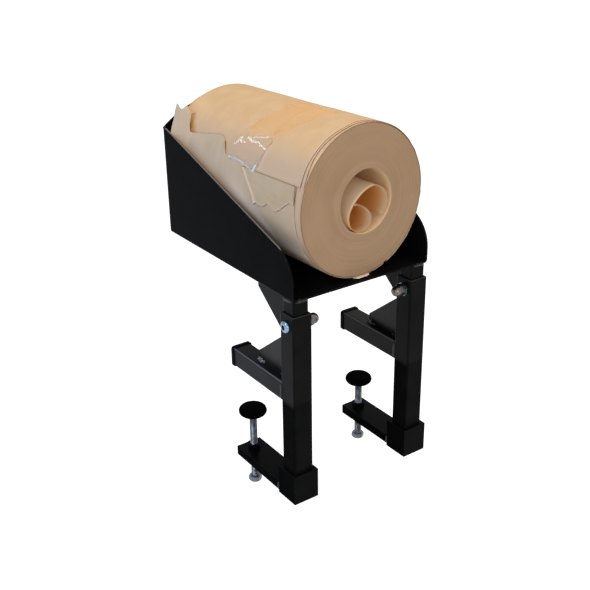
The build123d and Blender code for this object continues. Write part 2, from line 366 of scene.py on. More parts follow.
@dataclass(frozen=True)
class MouldedBlack(Finish):
    """Black polyethylene or rubber, moulded: even and dull, with a faint spark-eroded grain."""

    colour: str = "#0c0c0c"
    grain: float = 0.6
    roughness: float = 0.55
    gloss: float = 0.3

    def shade(self, tree: Tree) -> Socket:
        """Fine grain as bump, and smudges that change the roughness."""
        place = add_node(tree, "TexCoord", output="Object")
        grain = add_node(tree, "TexNoise", {"Vector": place, "Scale": 1 / (self.grain * MM), "Detail": 3.0})
        smudge = add_node(tree, "TexNoise", {"Vector": place, "Scale": 60.0})
        least, most = self.roughness - 0.12, self.roughness + 0.12
        rough = add_node(tree, "MapRange", {"Value": smudge, "To Min": least, "To Max": most})
        edge = add_node(tree, "Bevel", {"Radius": 0.4 * MM}, samples=4)
        relief = {"Strength": 0.3, "Distance": 0.05 * MM, "Height": grain}
        bump = add_node(tree, "Bump", {**relief, "Normal": edge})
        inputs = {"Roughness": rough, "Specular IOR Level": self.gloss, "Normal": bump}
        return add_node(tree, "BsdfPrincipled", {"Base Color": linear(self.colour), **inputs})


@dataclass(frozen=True)
class ZincPlate(Finish):
    """Bright zinc plate with a clear blue passivation on turned steel: bluish, with dark clouds that are
    partly dull plate and partly a painted reflection of a dark room.
    """

    colour: str
    dull_colour: str
    roughness: float = 0.22

    def shade(self, tree: Tree) -> Socket:
        """Dark clouds mixed into the bright plate, partly dull plate and partly painted reflection, with a
        fine bump.
        """
        place = add_node(tree, "TexCoord", output="Object")
        cloud = add_node(tree, "TexNoise", {"Vector": place, "Scale": 140.0, "Detail": 5.0})
        plate = self.lay_colours(tree, self.colour, [(cloud, 0.45, 0.75, 1.0, self.dull_colour)])
        least, most = self.roughness, self.roughness + 0.2
        rough = add_node(tree, "MapRange", {"Value": cloud, "To Min": least, "To Max": most})
        edge = add_node(tree, "Bevel", {"Radius": 0.35 * MM}, samples=4)
        relief = {"Strength": 0.2, "Distance": 0.05 * MM, "Height": cloud}
        bump = add_node(tree, "Bump", {**relief, "Normal": edge})
        inputs = {"Metallic": 1.0, "Roughness": rough, "Normal": bump}
        return add_node(tree, "BsdfPrincipled", {"Base Color": plate, **inputs})


@dataclass(frozen=True)
class KraftPaper(Finish):
    """Unbleached machine-made kraft: matt, with short fibres, cloudy formation and faint machine streaks."""

    colour: str = "#d6ae7d"
    fibre_colour: str = "#bf9463"
    cloud_colour: str = "#ddbb8e"
    painted_shade_colour: str = "#73400f"       # painted shade in creases and under lifted edges, where the painted shading is 1
    painted_highlight_colour: str = "#f2dfc4"        # painted highlight on cut edges and folds, where the painted shading is -1
    painted_glow_colour: str = "#dc9c50"        # painted glow where light would soak through from a fold, where the painted tint is 1
    painted_cool_colour: str = "#c6a98a"        # painted cool light on the side that faces the window, where the painted tint is -1
    glow_colour: str | None = None      # light that one face of a single sheet lets through
    streak: float = 2.5         # width of the streaks that run round the roll
    fibre: float = 0.9          # real fibres are finer, and would not show
    yaw: float = ROLL_YAW
    roughness: float = 0.78

    def shade(self, tree: Tree) -> Socket:
        """Clouds, streaks round the roll and fibres in colour, then painted shade, highlight, glow and cool
        light from two attributes; fibres and cockling as bump.
        """
        place = add_node(tree, "TexCoord", output="Object")
        turned = add_node(tree, "Mapping", {"Vector": place, "Rotation": (0.0, 0.0, -math.radians(self.yaw))})
        drawn = (12.0, 1 / (self.streak * MM), 12.0)
        along = add_node(tree, "Mapping", {"Vector": turned, "Scale": drawn})
        streaks = add_node(tree, "TexNoise", {"Vector": along, "Scale": 1.0, "Detail": 3.0})
        fibre = {"Scale": 1 / (self.fibre * MM), "Detail": 4.0, "Roughness": 0.7, "Distortion": 0.6}
        fibres = add_node(tree, "TexNoise", {"Vector": place, **fibre})
        clouds = add_node(tree, "TexNoise", {"Vector": place, "Scale": 28.0, "Detail": 4.0})
        # Two attributes carry painted light: shade and highlight in one, warm glow and cool light in the
        # other.
        tone = add_node(tree, "Attribute", output="Fac", attribute_name="tone")
        warmth = add_node(tree, "Attribute", output="Fac", attribute_name="warmth")
        paper = self.lay_colours(
            tree,
            self.colour,
            [
                (clouds, 0.35, 0.7, 0.8, self.cloud_colour),
                (streaks, 0.42, 0.75, 0.12, self.fibre_colour),
                (fibres, 0.45, 0.8, 0.5, self.fibre_colour),
                (tone, 0.0, -1.0, 1.0, self.painted_highlight_colour),
                (warmth, 0.0, -1.0, 1.0, self.painted_cool_colour),
                (warmth, 0.0, 1.0, 1.0, self.painted_glow_colour),
                (tone, 0.0, 1.0, 1.0, self.painted_shade_colour),
            ],
        )
        cockle = add_node(tree, "Bump", {"Strength": 0.25, "Distance": 0.6 * MM, "Height": clouds})
        relief = {"Strength": 0.3, "Distance": 0.08 * MM, "Height": fibres}
        bump = add_node(tree, "Bump", {**relief, "Normal": cockle})
        inputs = {"Roughness": self.roughness, "Specular IOR Level": 0.2, "Normal": bump}
        sheet = add_node(tree, "BsdfPrincipled", {"Base Color": paper, **inputs})
        if self.glow_colour is None:
            return sheet
        glow = add_node(tree, "BsdfTransparent", {"Color": linear(self.glow_colour)})
        shadow = add_node(tree, "LightPath", output="Is Shadow Ray")
        return add_node(tree, "MixShader", {0: shadow, 1: sheet, 2: glow})


@dataclass(frozen=True)
class CutPaperEnd(Finish):
    """The slit edges of hundreds of kraft windings: browner than the sheet, with fine rings.

    Real windings are 0.1 mm thick and would not show, so the rings are drawn a few times coarser.
    """

    colour: str = "#ac8c6b"
    dark_colour: str = "#a07f5e"
    light_colour: str = "#b59776"
    # painted shade line at the rim, where the outer windings stand off the end
    rim_shade_colour: str = "#6e5238"
    rings: float = 150.0        # rings between the bore and the rim

    def shade(self, tree: Tree) -> Socket:
        """Rings read from the winding attribute, 0 at the bore and 1 at the rim, soft stains and a painted
        shade line at the rim.
        """
        place = add_node(tree, "TexCoord", output="Object")
        winding = add_node(tree, "Attribute", output="Fac", attribute_name="winding")
        count = add_node(tree, "Math", {0: winding, 1: self.rings}, operation="MULTIPLY")
        fine = add_node(tree, "TexNoise", {"W": count, "Scale": 1.0, "Detail": 2.0}, noise_dimensions="1D")
        broad = add_node(tree, "TexNoise", {"W": count, "Scale": 0.09, "Detail": 2.0}, noise_dimensions="1D")
        stain = add_node(tree, "TexNoise", {"Vector": place, "Scale": 16.0, "Detail": 3.0})
        strength = add_node(tree, "MapRange", {"Value": winding, "To Min": 0.6, "To Max": 0.12})
        edges = self.lay_colours(
            tree,
            self.colour,
            [
                (stain, 0.45, 0.7, 0.5, self.dark_colour),
                (fine, 0.4, 0.75, strength, self.dark_colour),
                (broad, 0.5, 0.75, strength, self.light_colour),
                (winding, 0.975, 0.992, 0.6, self.rim_shade_colour),
            ],
        )
        bump = add_node(tree, "Bump", {"Strength": 0.2, "Distance": 0.2 * MM, "Height": fine})
        inputs = {"Roughness": 0.85, "Specular IOR Level": 0.2, "Normal": bump}
        return add_node(tree, "BsdfPrincipled", {"Base Color": edges, **inputs})


@dataclass(frozen=True)
class TapeFilm(Finish):
    """Polypropylene packing tape: a thin smooth film that shows the paper under it."""

    colour: str = "#e0b36c"
    opacity: float = 0.2
    # Painted glint on creases, partly the milky white of creased film, and a painted bluish reflection of the
    # window.
    crease_glint_colour: str = "#fff4de"
    window_reflection_colour: str = "#ccdad9"
    crease_opacity: float = 0.95
    roughness: float = 0.5

    def shade(self, tree: Tree) -> Socket:
        """Milky along creases, partly painted glints, with a painted bluish reflection where they face the
        window, and fading where it has come loose.

        It casts no shadow, as clear film lets nearly all light through.
        """
        crease, sky, fade = (
            add_node(tree, "Attribute", output="Fac", attribute_name=label)
            for label in ("crease", "sky", "fade")
        )
        place = add_node(tree, "TexCoord", output="Object")
        ripple = add_node(tree, "TexNoise", {"Vector": place, "Scale": 90.0, "Detail": 3.0})
        creased, windowed = linear(self.crease_glint_colour), linear(self.window_reflection_colour)
        milk = add_node(tree, "Mix", {0: sky, 6: creased, 7: windowed}, data_type="RGBA")
        film = add_node(tree, "Mix", {0: crease, 6: linear(self.colour), 7: milk}, data_type="RGBA")
        least, most = self.opacity, self.crease_opacity
        cover = add_node(tree, "MapRange", {"Value": crease, "To Min": least, "To Max": most})
        left = add_node(tree, "Math", {0: cover, 1: fade}, operation="MULTIPLY")
        bump = add_node(tree, "Bump", {"Strength": 0.3, "Distance": 0.3 * MM, "Height": ripple})
        inputs = {"Roughness": self.roughness, "Specular IOR Level": 0.15, "Alpha": left, "Normal": bump}
        seen = add_node(tree, "BsdfPrincipled", {"Base Color": film, **inputs})
        clear = add_node(tree, "BsdfTransparent")
        shadow = add_node(tree, "LightPath", output="Is Shadow Ray")
        return add_node(tree, "MixShader", {0: shadow, 1: seen, 2: clear})


POWDER_COAT = PowderCoat("black_powder_coat_on_steel", gloss=0.03)
# Painted highlight on the tube's upward top rim.
LEG_COAT = PowderCoat(
    "black_powder_coat_on_leg",
    gloss=0.03,
    highlight_facing=(0.0, 0.0, 1.0),
    highlight_range=(0.9, 0.99),
    highlight_colour="#3e3b38",
    dull_below=10.0,
)
# Painted highlight along the walls' sloping top edges.
TRAY_COAT = PowderCoat(
    "black_powder_coat_on_sheet",
    colour="#0a0a0a",
    dusty_colour="#0e0e0d",
    gloss=0.006,
    highlight_facing=(0.0, -0.3125, 0.95),
    highlight_range=(0.975, 0.995),
    highlight_colour="#786f66",
)
# Painted highlight along the arms' top left edges; the arms' coat is also painted lighter than the rest of
# the frame, as lit.
ARM_COAT = PowderCoat(
    "rubbed_powder_coat_on_arms",
    colour="#141412",
    dusty_colour="#201e1c",
    gloss=0.04,
    highlight_facing=(-0.707, 0.0, 0.707),
    highlight_range=(0.88, 0.98),
)
# A lighter, browner copy of the black coat on the lower gussets: painted light.
GUSSET_COAT = PowderCoat("black_powder_coat_on_gussets", "#161412", "#211e1b", gloss=0.1)
# A darker copy of the black coat on the jaws, lower arms and nuts: painted shade under the upper arms.
JAW_COAT = PowderCoat(
    "black_powder_coat_on_jaw", "#060606", "#0a0a09", gloss=0.035, edge_radius=0.5, dull_below=0.0
)
WELD_COAT = PowderCoat("powder_coated_weld", gloss=0.25, roughness=0.25)
# Painted glints on the weld at the left gusset's toe, partly thin coat.
BARE_WELD = PowderCoat("thinly_coated_weld", gloss=0.4, roughness=0.25, glint_share=0.9)
CAP_PLASTIC = MouldedBlack("moulded_polyethylene_cap", colour="#050505", gloss=0.03)
PAD_RUBBER = MouldedBlack("moulded_rubber_pad", colour="#020202", roughness=0.8, gloss=0.01)
# Dark clouds on the zinc are partly a painted reflection of a dark room.
ZINC = ZincPlate("zinc_plated_screw", colour="#696d71", dull_colour="#3a3c40")
BRIGHT_ZINC = ZincPlate("bright_zinc_plated_bolt", colour="#7b91a4", dull_colour="#353e47", roughness=0.15)
DULL_ZINC = ZincPlate("dull_zinc_plated_nut", colour="#716c66", dull_colour="#2b2725", roughness=0.25)
KRAFT = KraftPaper("kraft_roll")
SHEET_KRAFT = KraftPaper("kraft_sheet", glow_colour="#bc9268")
# Greyer copies of the kraft for the sheets on the roll's side: painted cool light.
OUTER_KRAFT = KraftPaper("weathered_kraft_sheet", "#c2aa8b", "#ae9374", "#c8b398", glow_colour="#bc9268")
SCRAP_KRAFT = KraftPaper("weathered_kraft_scrap", "#bea684", "#aa9070", "#c4af90", glow_colour="#bc9268")
# Lighter copies of the kraft in the bore and the inner windings: painted light where little reaches.
BORE_KRAFT = KraftPaper("kraft_bore", "#ecca9a", "#dab584", "#f0d2a6")
INNER_KRAFT = KraftPaper(
    "kraft_inner_winding", "#ecca9a", "#dab584", "#f0d2a6", painted_glow_colour="#e6a04a", glow_colour="#d09a5c"
)
CUT_END = CutPaperEnd("cut_edges_of_kraft_windings")
TAN_TAPE = TapeFilm("tan_packing_tape")
CLEAR_TAPE = TapeFilm("clear_packing_tape", colour="#b3977c", opacity=0.03, roughness=0.4)


# --- Meshes -----------------------------------------------------------------


def grid_faces(rows: int, columns: int, wrap_rows: bool = False, wrap_columns: bool = False) -> Array:
    """Number the quads of a grid of points, counted row by row.

    Args:
        rows: Points along the first direction.
        columns: Points along the second.
        wrap_rows: Whether the last row joins the first.
        wrap_columns: Whether the last column joins the first.

    Returns:
        An array of four point numbers for each quad.
    """
    i, j = np.meshgrid(
        np.arange(rows if wrap_rows else rows - 1),
        np.arange(columns if wrap_columns else columns - 1),
        indexing="ij",
    )
    next_i, next_j = (i + 1) % rows, (j + 1) % columns
    quads = [i * columns + j, next_i * columns + j, next_i * columns + next_j, i * columns + next_j]
    return np.stack(quads, -1).reshape(-1, 4)


def thick_sheet(surface: Array, thickness: float) -> tuple[Array, list]:
    """Close a sheet: its points moved half its thickness each way along its normals, joined at the rim.

    Args:
        surface: The sheet's middle, an array of rows, columns and xyz.
        thickness: The sheet's thickness.

    Returns:
        Points and faces of the closed sheet.
    """
    rows, columns = surface.shape[:2]
    normal = np.cross(np.gradient(surface, axis=0), np.gradient(surface, axis=1))
    normal /= np.linalg.norm(normal, axis=-1, keepdims=True)
    shift = normal * thickness / 2
    points = np.concatenate([(surface + shift).reshape(-1, 3), (surface - shift).reshape(-1, 3)])
    front = grid_faces(rows, columns)
    number = np.arange(rows * columns).reshape(rows, columns)
    rim = np.concatenate([number[:-1, 0], number[-1, :-1], number[:0:-1, -1], number[0, :0:-1]])
    after = np.roll(rim, -1)
    back = rows * columns
    sides = np.stack([after, rim, rim + back, after + back], -1)
    return points, [*front.tolist(), *(front[:, ::-1] + back).tolist(), *sides.tolist()]


def closed_rings(rings: Array) -> tuple[Array, list]:
    """Skin a stack of rings and close both ends with a pole at the end ring's middle.

    Args:
        rings: An array of rings, points round each, and xyz.

    Returns:
        Points and faces of the closed skin.
    """
    rows, columns = rings.shape[:2]
    count = rows * columns
    points = np.concatenate([rings.reshape(-1, 3), rings[[0, -1]].mean(axis=1)])
    around = np.arange(columns)
    after = (around + 1) % columns
    last = count - columns
    first_end = np.stack([after, around, np.full(columns, count)], -1)
    last_end = np.stack([around + last, after + last, np.full(columns, count + 1)], -1)
    quads = grid_faces(rows, columns, wrap_columns=True)
    return points, [*quads.tolist(), *first_end.tolist(), *last_end.tolist()]


def signed_volume(points: Array, faces: list) -> float:
    """Sum the tetrahedra from the origin to each face's first triangle pair: above 0 if faces point out."""
    total = 0.0
    for corner in (1, 2):
        chosen = [face for face in faces if len(face) > corner + 1]
        index = np.array([(face[0], face[corner], face[corner + 1]) for face in chosen])
        a, b, c = (points[index[:, k]] for k in range(3))
        total += float(np.einsum("ij,ij->", a, np.cross(b, c)))
    return total


def make_piece(
    name: str,
    shape: tuple[Array, list],
    finish: Finish,
    body: Body,
    replaces: tuple[str, ...] = (),
    attributes: dict[str, Array] | None = None,
) -> bpy.types.Object:
    """Make a closed piece from points in millimetres, turn its faces outwards and place it on its body.

    Args:
        name: The piece's name.
        shape: Its points and faces.
        finish: Its finish.
        body: The body that it rides on.
        replaces: CAD nodes that it stands for.
        attributes: Numbers for each point, by name.

    Returns:
        The new object.
    """
    points, faces = shape
    centred = points - points.mean(axis=0)
    if signed_volume(centred, faces) < 0:
        faces = [face[::-1] for face in faces]
    mesh = bpy.data.meshes.new(name)
    mesh.from_pydata((points * MM).tolist(), [], faces)
    for label, values in (attributes or {}).items():
        layer = mesh.attributes.new(label, "FLOAT", "POINT")
        layer.data.foreach_set("value", np.ascontiguousarray(values, dtype=np.float32).ravel())
    mesh.materials.append(finish.material())
    mesh.shade_smooth()
    mesh.update()
    piece = add_object(name, mesh)
    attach(piece, body.value)
    if replaces:
        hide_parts(*replaces)
    LOG.info("%s: %d points, %d faces on %s", name, len(points), len(faces), body.value)
    return piece


# --- Paper ------------------------------------------------------------------


@dataclass
class PaperRoll:
    """The kraft roll: its body, loose windings, torn outer sheets and two pieces of tape."""

    yaw: float = ROLL_YAW
    bore_radius: float = 54.85
    bore_shift: float = 5.0         # the worn bore lies off the roll's axis
    sheet: float = 0.25             # drawn thickness of one sheet
    body_shrink: float = 1.5        # the body under the loose windings is this much smaller in radius
    under_depth: float = 0.85       # the under winding's middle, inside the roll's radius
    outer_depth: float = 0.2        # the outer winding's
    sheet_height: float = 0.35      # the torn and the front sheet's middle, outside the roll's radius
    scrap_height: float = 0.95      # the torn scrap's
    tan_height: float = 0.28        # the tan tape's
    clear_height: float = 0.95      # the clear tape's
    tan_film: float = 0.08          # drawn thickness of the tan tape
    clear_film: float = 0.06        # and of the clear one
    inner_sheet: float = 0.3        # drawn thickness of the loose inner windings
    walk_step: float = 0.12         # how far a winding's edge stands in or out from the next one's
    flare_from: float = 330.5       # the torn sheet flares behind this
    loose_from: float = 328.0       # the windings come loose behind this
    loose_run: float = 45.0         # and are fully loose this much farther back
    tan_start: float = 86.0         # the tan tape's right end, in degrees round the roll
    tan_span: float = 52.5          # and how many degrees it covers
    clear_front: float = 117.5      # the clear tape's front edge, behind the roll's front face
    clear_length: float = 101.5     # and its length along the roll
    columns: int = 240              # points round the body
    radius: float = field(init=False)
    length: float = field(init=False)
    across: Array = field(init=False)       # to the right, level and square to the roll's axis
    along: Array = field(init=False)        # along the axis, away from the front
    front: Array = field(init=False)        # the middle of the front face

    # Outlines on the roll: (degrees round it, mm behind its front face) or the other way round.
    winding_edge: ClassVar[Outline] = [
        (60, 1), (94, 13), (104, 10), (121, 13), (143, 13), (160, 9), (175, 6), (215, 3), (250, 1),
    ]
    middle_edge: ClassVar[Outline] = [
        (60, 0.8), (95, 7), (104, 5.5), (121, 7.8), (132, 9), (142, 7), (151, 3.2), (160, 1.5), (168, 2.6),
        (176, 1.2), (215, 1), (250, 0.8),
    ]
    under_edge: ClassVar[Outline] = [
        (60, 0.3), (95, 2.5), (103, 1.5), (113, 1.2), (126.5, 1.6), (127.2, 4.8), (135, 4.5), (143, 3.2),
        (151, 1.2), (160, 0.6), (176, 0.4), (250, 0.3),
    ]
    torn_top: ClassVar[Outline] = [
        (14, 158), (127, 158.5), (135, 157.5), (167, 156.6), (213, 156), (219, 155), (222, 152), (226, 149),
        (233, 146), (240, 144), (249, 143), (290, 146), (331, 149), (336, 149.2), (340, 145.3), (343, 138),
        (350, 133.6), (358, 138), (366, 136), (372, 138),
    ]
    flare: ClassVar[Outline] = [
        (125, 1.1), (132.6, 1.1), (137.5, 1.0), (145, 0.68), (154, 0.48), (165, 0.18), (175, 0.08), (185, 0),
    ]
    sheet_front: ClassVar[Outline] = [
        (158, 21), (165, 18), (172, 17), (186, 14), (198, 14), (225, 10), (262, 6),
    ]
    sheet_back: ClassVar[Outline] = [(125, 365), (138, 365.5), (146, 368), (156, 370), (170, 371), (262, 373)]
    patch_left: ClassVar[Outline] = [(158, 170), (163, 157), (170, 141), (175.5, 130), (184, 122)]
    patch_bottom: ClassVar[Outline] = [
        (17, 172), (27, 171.5), (39, 175), (52, 179.3), (65, 182), (73, 179.6), (84, 178), (95, 181.4),
        (109, 182.3), (117, 181.4), (126, 183.5),
    ]
    front_sheet_back: ClassVar[Outline] = [
        (40, 128), (133, 126), (136, 116.5), (143.5, 120), (150, 121), (155.5, 122), (160, 125),
    ]
    loosened: ClassVar[Outline] = [
        (60, 0), (80, 0.2), (90, 0.7), (100, 1.4), (104, 1.7), (109, 2.4), (113.6, 3.2), (118.4, 4.6),
        (122, 6), (125, 7.4), (132, 8), (148, 7.5), (156, 3.5), (162, 0),
    ]
    beside_flare: ClassVar[Outline] = [
        (127, 377), (132, 368), (135.5, 357), (140.5, 346), (146, 338), (148.5, 330), (149.8, 316),
        (150.5, 309),
    ]
    beside_tear: ClassVar[Outline] = [(143, 244), (147.5, 233), (152, 226), (155, 222), (157, 219)]
    by_the_wall: ClassVar[Outline] = [
        (78, 219.4), (88, 208.7), (107, 201), (129, 194.7), (153, 189), (180, 183.9), (208, 179.1),
        (237, 174.5), (267, 170.1), (298, 165.8), (331, 161.6), (365, 157.4),
    ]
    tape_lower: ClassVar[Outline] = [
        (86, 78), (89, 78), (109, 84), (120, 97), (126.6, 107), (133.1, 130), (135.5, 148), (139, 178),
    ]
    tape_upper: ClassVar[Outline] = [(86, 178), (88, 180), (107, 171), (123, 183), (134, 203), (139, 200)]
    clear_upper: ClassVar[Outline] = [(117, 134), (134, 132), (148, 134), (179, 137), (197, 138), (219, 141)]
    clear_lower: ClassVar[Outline] = [
        (117, 150), (121, 157), (132, 162), (152, 160), (174, 158.5), (214, 158), (219, 157),
    ]
    # The clear tape's creases: whether each faces the window and so gets a painted reflection, how strong it
    # is, and its course.
    creases: ClassVar[list[tuple[bool, float, Outline]]] = [
        (
            False,
            0.8,
            [(205, 146), (198, 143.8), (197, 139.3), (193, 139), (194, 142.3), (187, 143.3), (179, 142)],
        ),
        (False, 1.0, [(179, 138.5), (164, 140.3), (151, 139.5), (138, 141), (123, 142.5)]),
        (False, 0.55, [(179, 138.5), (155, 136), (140, 134.5), (134, 133)]),
        (True, 0.75, [(207, 156.3), (183, 156), (169, 156.8), (150, 158.5), (133, 160.3)]),
        (True, 1.1, [(133, 160.3), (130.5, 155.8)]),
        (True, 0.5, [(130.5, 155.8), (131, 150.8)]),
    ]
    # The curl's tangent arcs: (radius in bore radii, degrees turned).
    curl_arcs: ClassVar[list[tuple[float, float]]] = [
        (0.576, 151.6), (1.13, 48.2), (0.552, 94.2), (0.41, 39.7), (0.366, 106.4), (0.702, 62.3),
    ]

    def __post_init__(self) -> None:
        """Read the roll's place and size from its CAD node."""
        low, high = cad_box("paper_roll")
        turn = math.radians(self.yaw)
        self.radius = (high[2] - low[2]) / 2
        self.length = ((high - low)[1] - 2 * self.radius * math.sin(turn)) / math.cos(turn)
        self.across = np.array([math.cos(turn), math.sin(turn), 0.0])
        self.along = np.array([-math.sin(turn), math.cos(turn), 0.0])
        self.front = (low + high) / 2 - self.along * self.length / 2

    def place(self, right: Array, up: Array, behind: Array) -> Array:
        """Turn places on the roll into points: right and up from its axis, and behind its front face."""
        right, up, behind = (part[..., None] for part in np.broadcast_arrays(right, up, behind))
        return self.front + right * self.across + up * np.array([0.0, 0.0, 1.0]) + behind * self.along

    def wrap(self, radius: Array, degrees: Array, behind: Array) -> Array:
        """Turn polar places on the roll into points."""
        angle = np.radians(degrees)
        return self.place(radius * np.cos(angle), radius * np.sin(angle), behind)

    def lay(
        self,
        name: str,
        surface: Array,
        finish: Finish,
        thickness: float | None = None,
        slot: Slot = Slot.PAPER,
        replaces: tuple[str, ...] = (),
        **attributes: Array | float,
    ) -> None:
        """Lay a sheet on the roll, with the same attributes on both of its faces.

        Args:
            name: The piece's name.
            surface: The sheet's middle, an array of rows, columns and xyz.
            finish: Its finish.
            thickness: Its thickness, if it isn't a sheet of the roll's paper.
            slot: The record's material slot. Not used.
            replaces: CAD nodes that it stands for.
            attributes: A number for the whole sheet or for each of its points, by name.
        """
        shape = thick_sheet(surface, self.sheet if thickness is None else thickness)
        grid = surface.shape[:2]
        one = {label: np.broadcast_to(value, grid).ravel() for label, value in attributes.items()}
        both = {label: np.tile(values, 2) for label, values in one.items()}
        make_piece(name, shape, finish, Body.ROLL, replaces, both)

    def body(self) -> None:
        """The body: one closed skin of bore, front end, outside and rear end.

        Each row is a ring. Along the bore and the outside the rings step backwards. Over an end they
        grow from the worn bore to the rim, and each point is pushed along the axis by a random walk
        from winding to winding, so that the windings stand a little in and out.
        """
        random = np.random.default_rng(7)
        degrees = np.arange(self.columns) * 360 / self.columns
        angle = np.radians(degrees)
        outer = self.radius - self.body_shrink
        bore_rows, end_rows, side_rows = 22, 90, 40
        share = np.linspace(0, 1, end_rows)[:, None]
        walk = np.cumsum(random.normal(0, self.walk_step, end_rows))
        walk = (walk - np.linspace(walk[0], walk[-1], end_rows))[:, None]
        turning = 0.25 * waves(share * 75, angle * 30, 11, 60)
        inner_lift = -2.2 * (1 - smooth_step(share, 0.0, 0.26))
        spiral = share - degrees / 360 * 0.03
        loose = 1.3 * band(spiral, 0.155, 0.165, 0.165, 0.34) * band(degrees, 140, 175, 235, 262)
        face = np.maximum(walk + turning + inner_lift + loose + 0.9, -2.5)
        circle = np.stack([np.cos(angle), np.sin(angle)])
        bore, rim = circle * self.bore_radius + [[self.bore_shift], [0.0]], circle * outer

        def ring(part: Array, behind: Array) -> Array:
            """One or more rings between the bore, part 0, and the rim, part 1."""
            right, up = (inside * (1 - part) + outside * part for inside, outside in zip(bore, rim))
            return self.place(right, up, behind)

        bore_depth = np.linspace(self.length - 1, face[0] + 0.5, bore_rows)
        side_depth = np.linspace(face[-1] + 0.5, self.length - 1, side_rows)
        swell = 1 + 0.3 * waves(side_depth, angle * outer, 3, 150) / outer
        skin = self.place(rim[0] * swell, rim[1] * swell, side_depth)
        rear = self.length - 1 + 0.6 * np.minimum(walk[::-1] + 1, 1)
        rows = [ring(np.zeros((bore_rows, 1)), bore_depth), ring(share, face), skin, ring(share[::-1], rear)]
        surface = np.concatenate(rows)
        winding = np.concatenate([np.zeros(bore_rows), share[:, 0], np.ones(side_rows), share[::-1, 0]])
        faces = grid_faces(*surface.shape[:2], wrap_rows=True, wrap_columns=True)
        piece = make_piece(
            "roll_body",
            (surface.reshape(-1, 3), faces.tolist()),
            KRAFT,
            Body.ROLL,
            replaces=("paper_roll",),
            attributes={"winding": np.repeat(winding, self.columns)},
        )
        piece.data.materials.append(CUT_END.material())
        piece.data.materials.append(BORE_KRAFT.material())
        ends = np.repeat([0, 1, 0, 1], [bore_rows, end_rows, side_rows, end_rows])
        parts = np.where(np.arange(len(surface)) < bore_rows, 2, ends * np.roll(ends, -1))
        piece.data.polygons.foreach_set("material_index", np.repeat(parts, self.columns).astype(np.int32))

    def winding(
        self, name: str, radius: float, edge: Outline, over: Outline, seed: int, outermost: bool = False
    ) -> None:
        """A loose winding round the whole roll, with its two ends meeting underneath.

        The radius swells by slow waves, and grows at the back, where the winding has come loose at the
        upper left. A highlight is painted on its front edge, shade in front of the sheets that lie on it, and
        cool light on its side and on its top front strips.

        Args:
            name: The piece's name.
            radius: The winding's radius.
            edge: Its front edge.
            over: The front edge of what lies on it.
            seed: Which waves.
            outermost: Whether the torn sheets' painted shade and glow go on it.
        """
        degrees = np.linspace(-65, 292, 320)[None, :]
        share = np.concatenate([np.linspace(0, 0.06, 44)[:-1], np.linspace(0.06, 1, 110)])[:, None]
        shown = np.where(degrees < 0, degrees + 360, degrees)
        start = np.maximum(follow(shown, edge) + 0.35 * waves(degrees * WAVE_ARC, 0.0, seed, 14), 0.3)
        behind = start + share * (self.length - 2.5 - start)
        swell = 0.12 * waves(behind, degrees * WAVE_ARC, seed + 1, 90)
        come_loose = follow(degrees, self.loosened) * (1 if outermost else 0.9)
        loose = come_loose * np.clip((behind - self.loose_from) / self.loose_run, 0, 1)
        covered = 1 - smooth_step(shown, 156, 163)
        # Painted shade in front of the sheets on it, and a painted highlight on its own front edge.
        tone = covered * near(follow(shown, over) - behind, 1.2) - 0.3 * near(behind - start, 0.8)
        # Painted cool light on the top front strips, as on the roll's side.
        painted_cool_strips = 0.5 * smooth_step(shown, 95, 120) * (1 - smooth_step(behind, 8, 16))
        warmth = -np.maximum(self.painted_cool_light(shown), painted_cool_strips)
        if outermost:
            # Painted shade and painted glow from the torn sheets above.
            painted_shade, warm = self.painted_shade_and_glow(behind, degrees)
            tone, warmth = tone + painted_shade, warmth * (1 - warm) + warm
        surface = self.wrap(radius + swell + loose, degrees, behind)
        self.lay(name, surface, SHEET_KRAFT, tone=tone, warmth=warmth)

    def painted_cool_light(self, degrees: Array) -> Array:
        """How much cool window light is painted on the paper: from 0 on the roll's top to 1 on its side."""
        return band(degrees, 126, 154, 225, 280)

    def painted_shade_and_glow(self, behind: Array, degrees: Array) -> tuple[Array, Array]:
        """The painted shade and painted glow that stand for what the sheets above cast on the outer winding.

        Both are strongest along the torn sheet's flared and torn edges and fade away from them. The painted
        shade lies along its top and front edges and along the back edge of the front sheet too.
        """
        from_flare = np.maximum(follow(degrees, self.beside_flare) - behind, 0)
        from_tear = np.maximum(follow(degrees, self.beside_tear) - behind, 0)
        from_top = (follow(behind, self.torn_top) - degrees) * DEGREE_ARC
        from_front = follow(degrees, self.sheet_front) - behind
        from_lip = behind - follow(degrees, self.front_sheet_back)
        low = smooth_step(degrees, 137, 145)
        flared = band(degrees, 125, 129, 150, 153)
        torn = band(degrees, 143, 147, 157, 159) * (behind < 250)
        painted_shade = (
            0.5 * low * flared * near(from_flare, 11)
            + 0.6 * torn * near(from_tear, 4)
            + 0.4 * near(from_top, 1.6) * smooth_step(behind, 240, 250)
            + band(degrees, 158, 160, 200, 215) * near(from_front, 2.8 - 1.5 * smooth_step(degrees, 168, 185))
            + 0.9 * band(degrees, 134.5, 138, 152, 158) * near(from_lip - 1.2, 1.5)
        )
        warm = 0.7 * flared * near(from_flare, 3.5 + 11 * low) + 0.8 * torn * near(from_tear, 6)
        return painted_shade, np.clip(warm, 0, 1)

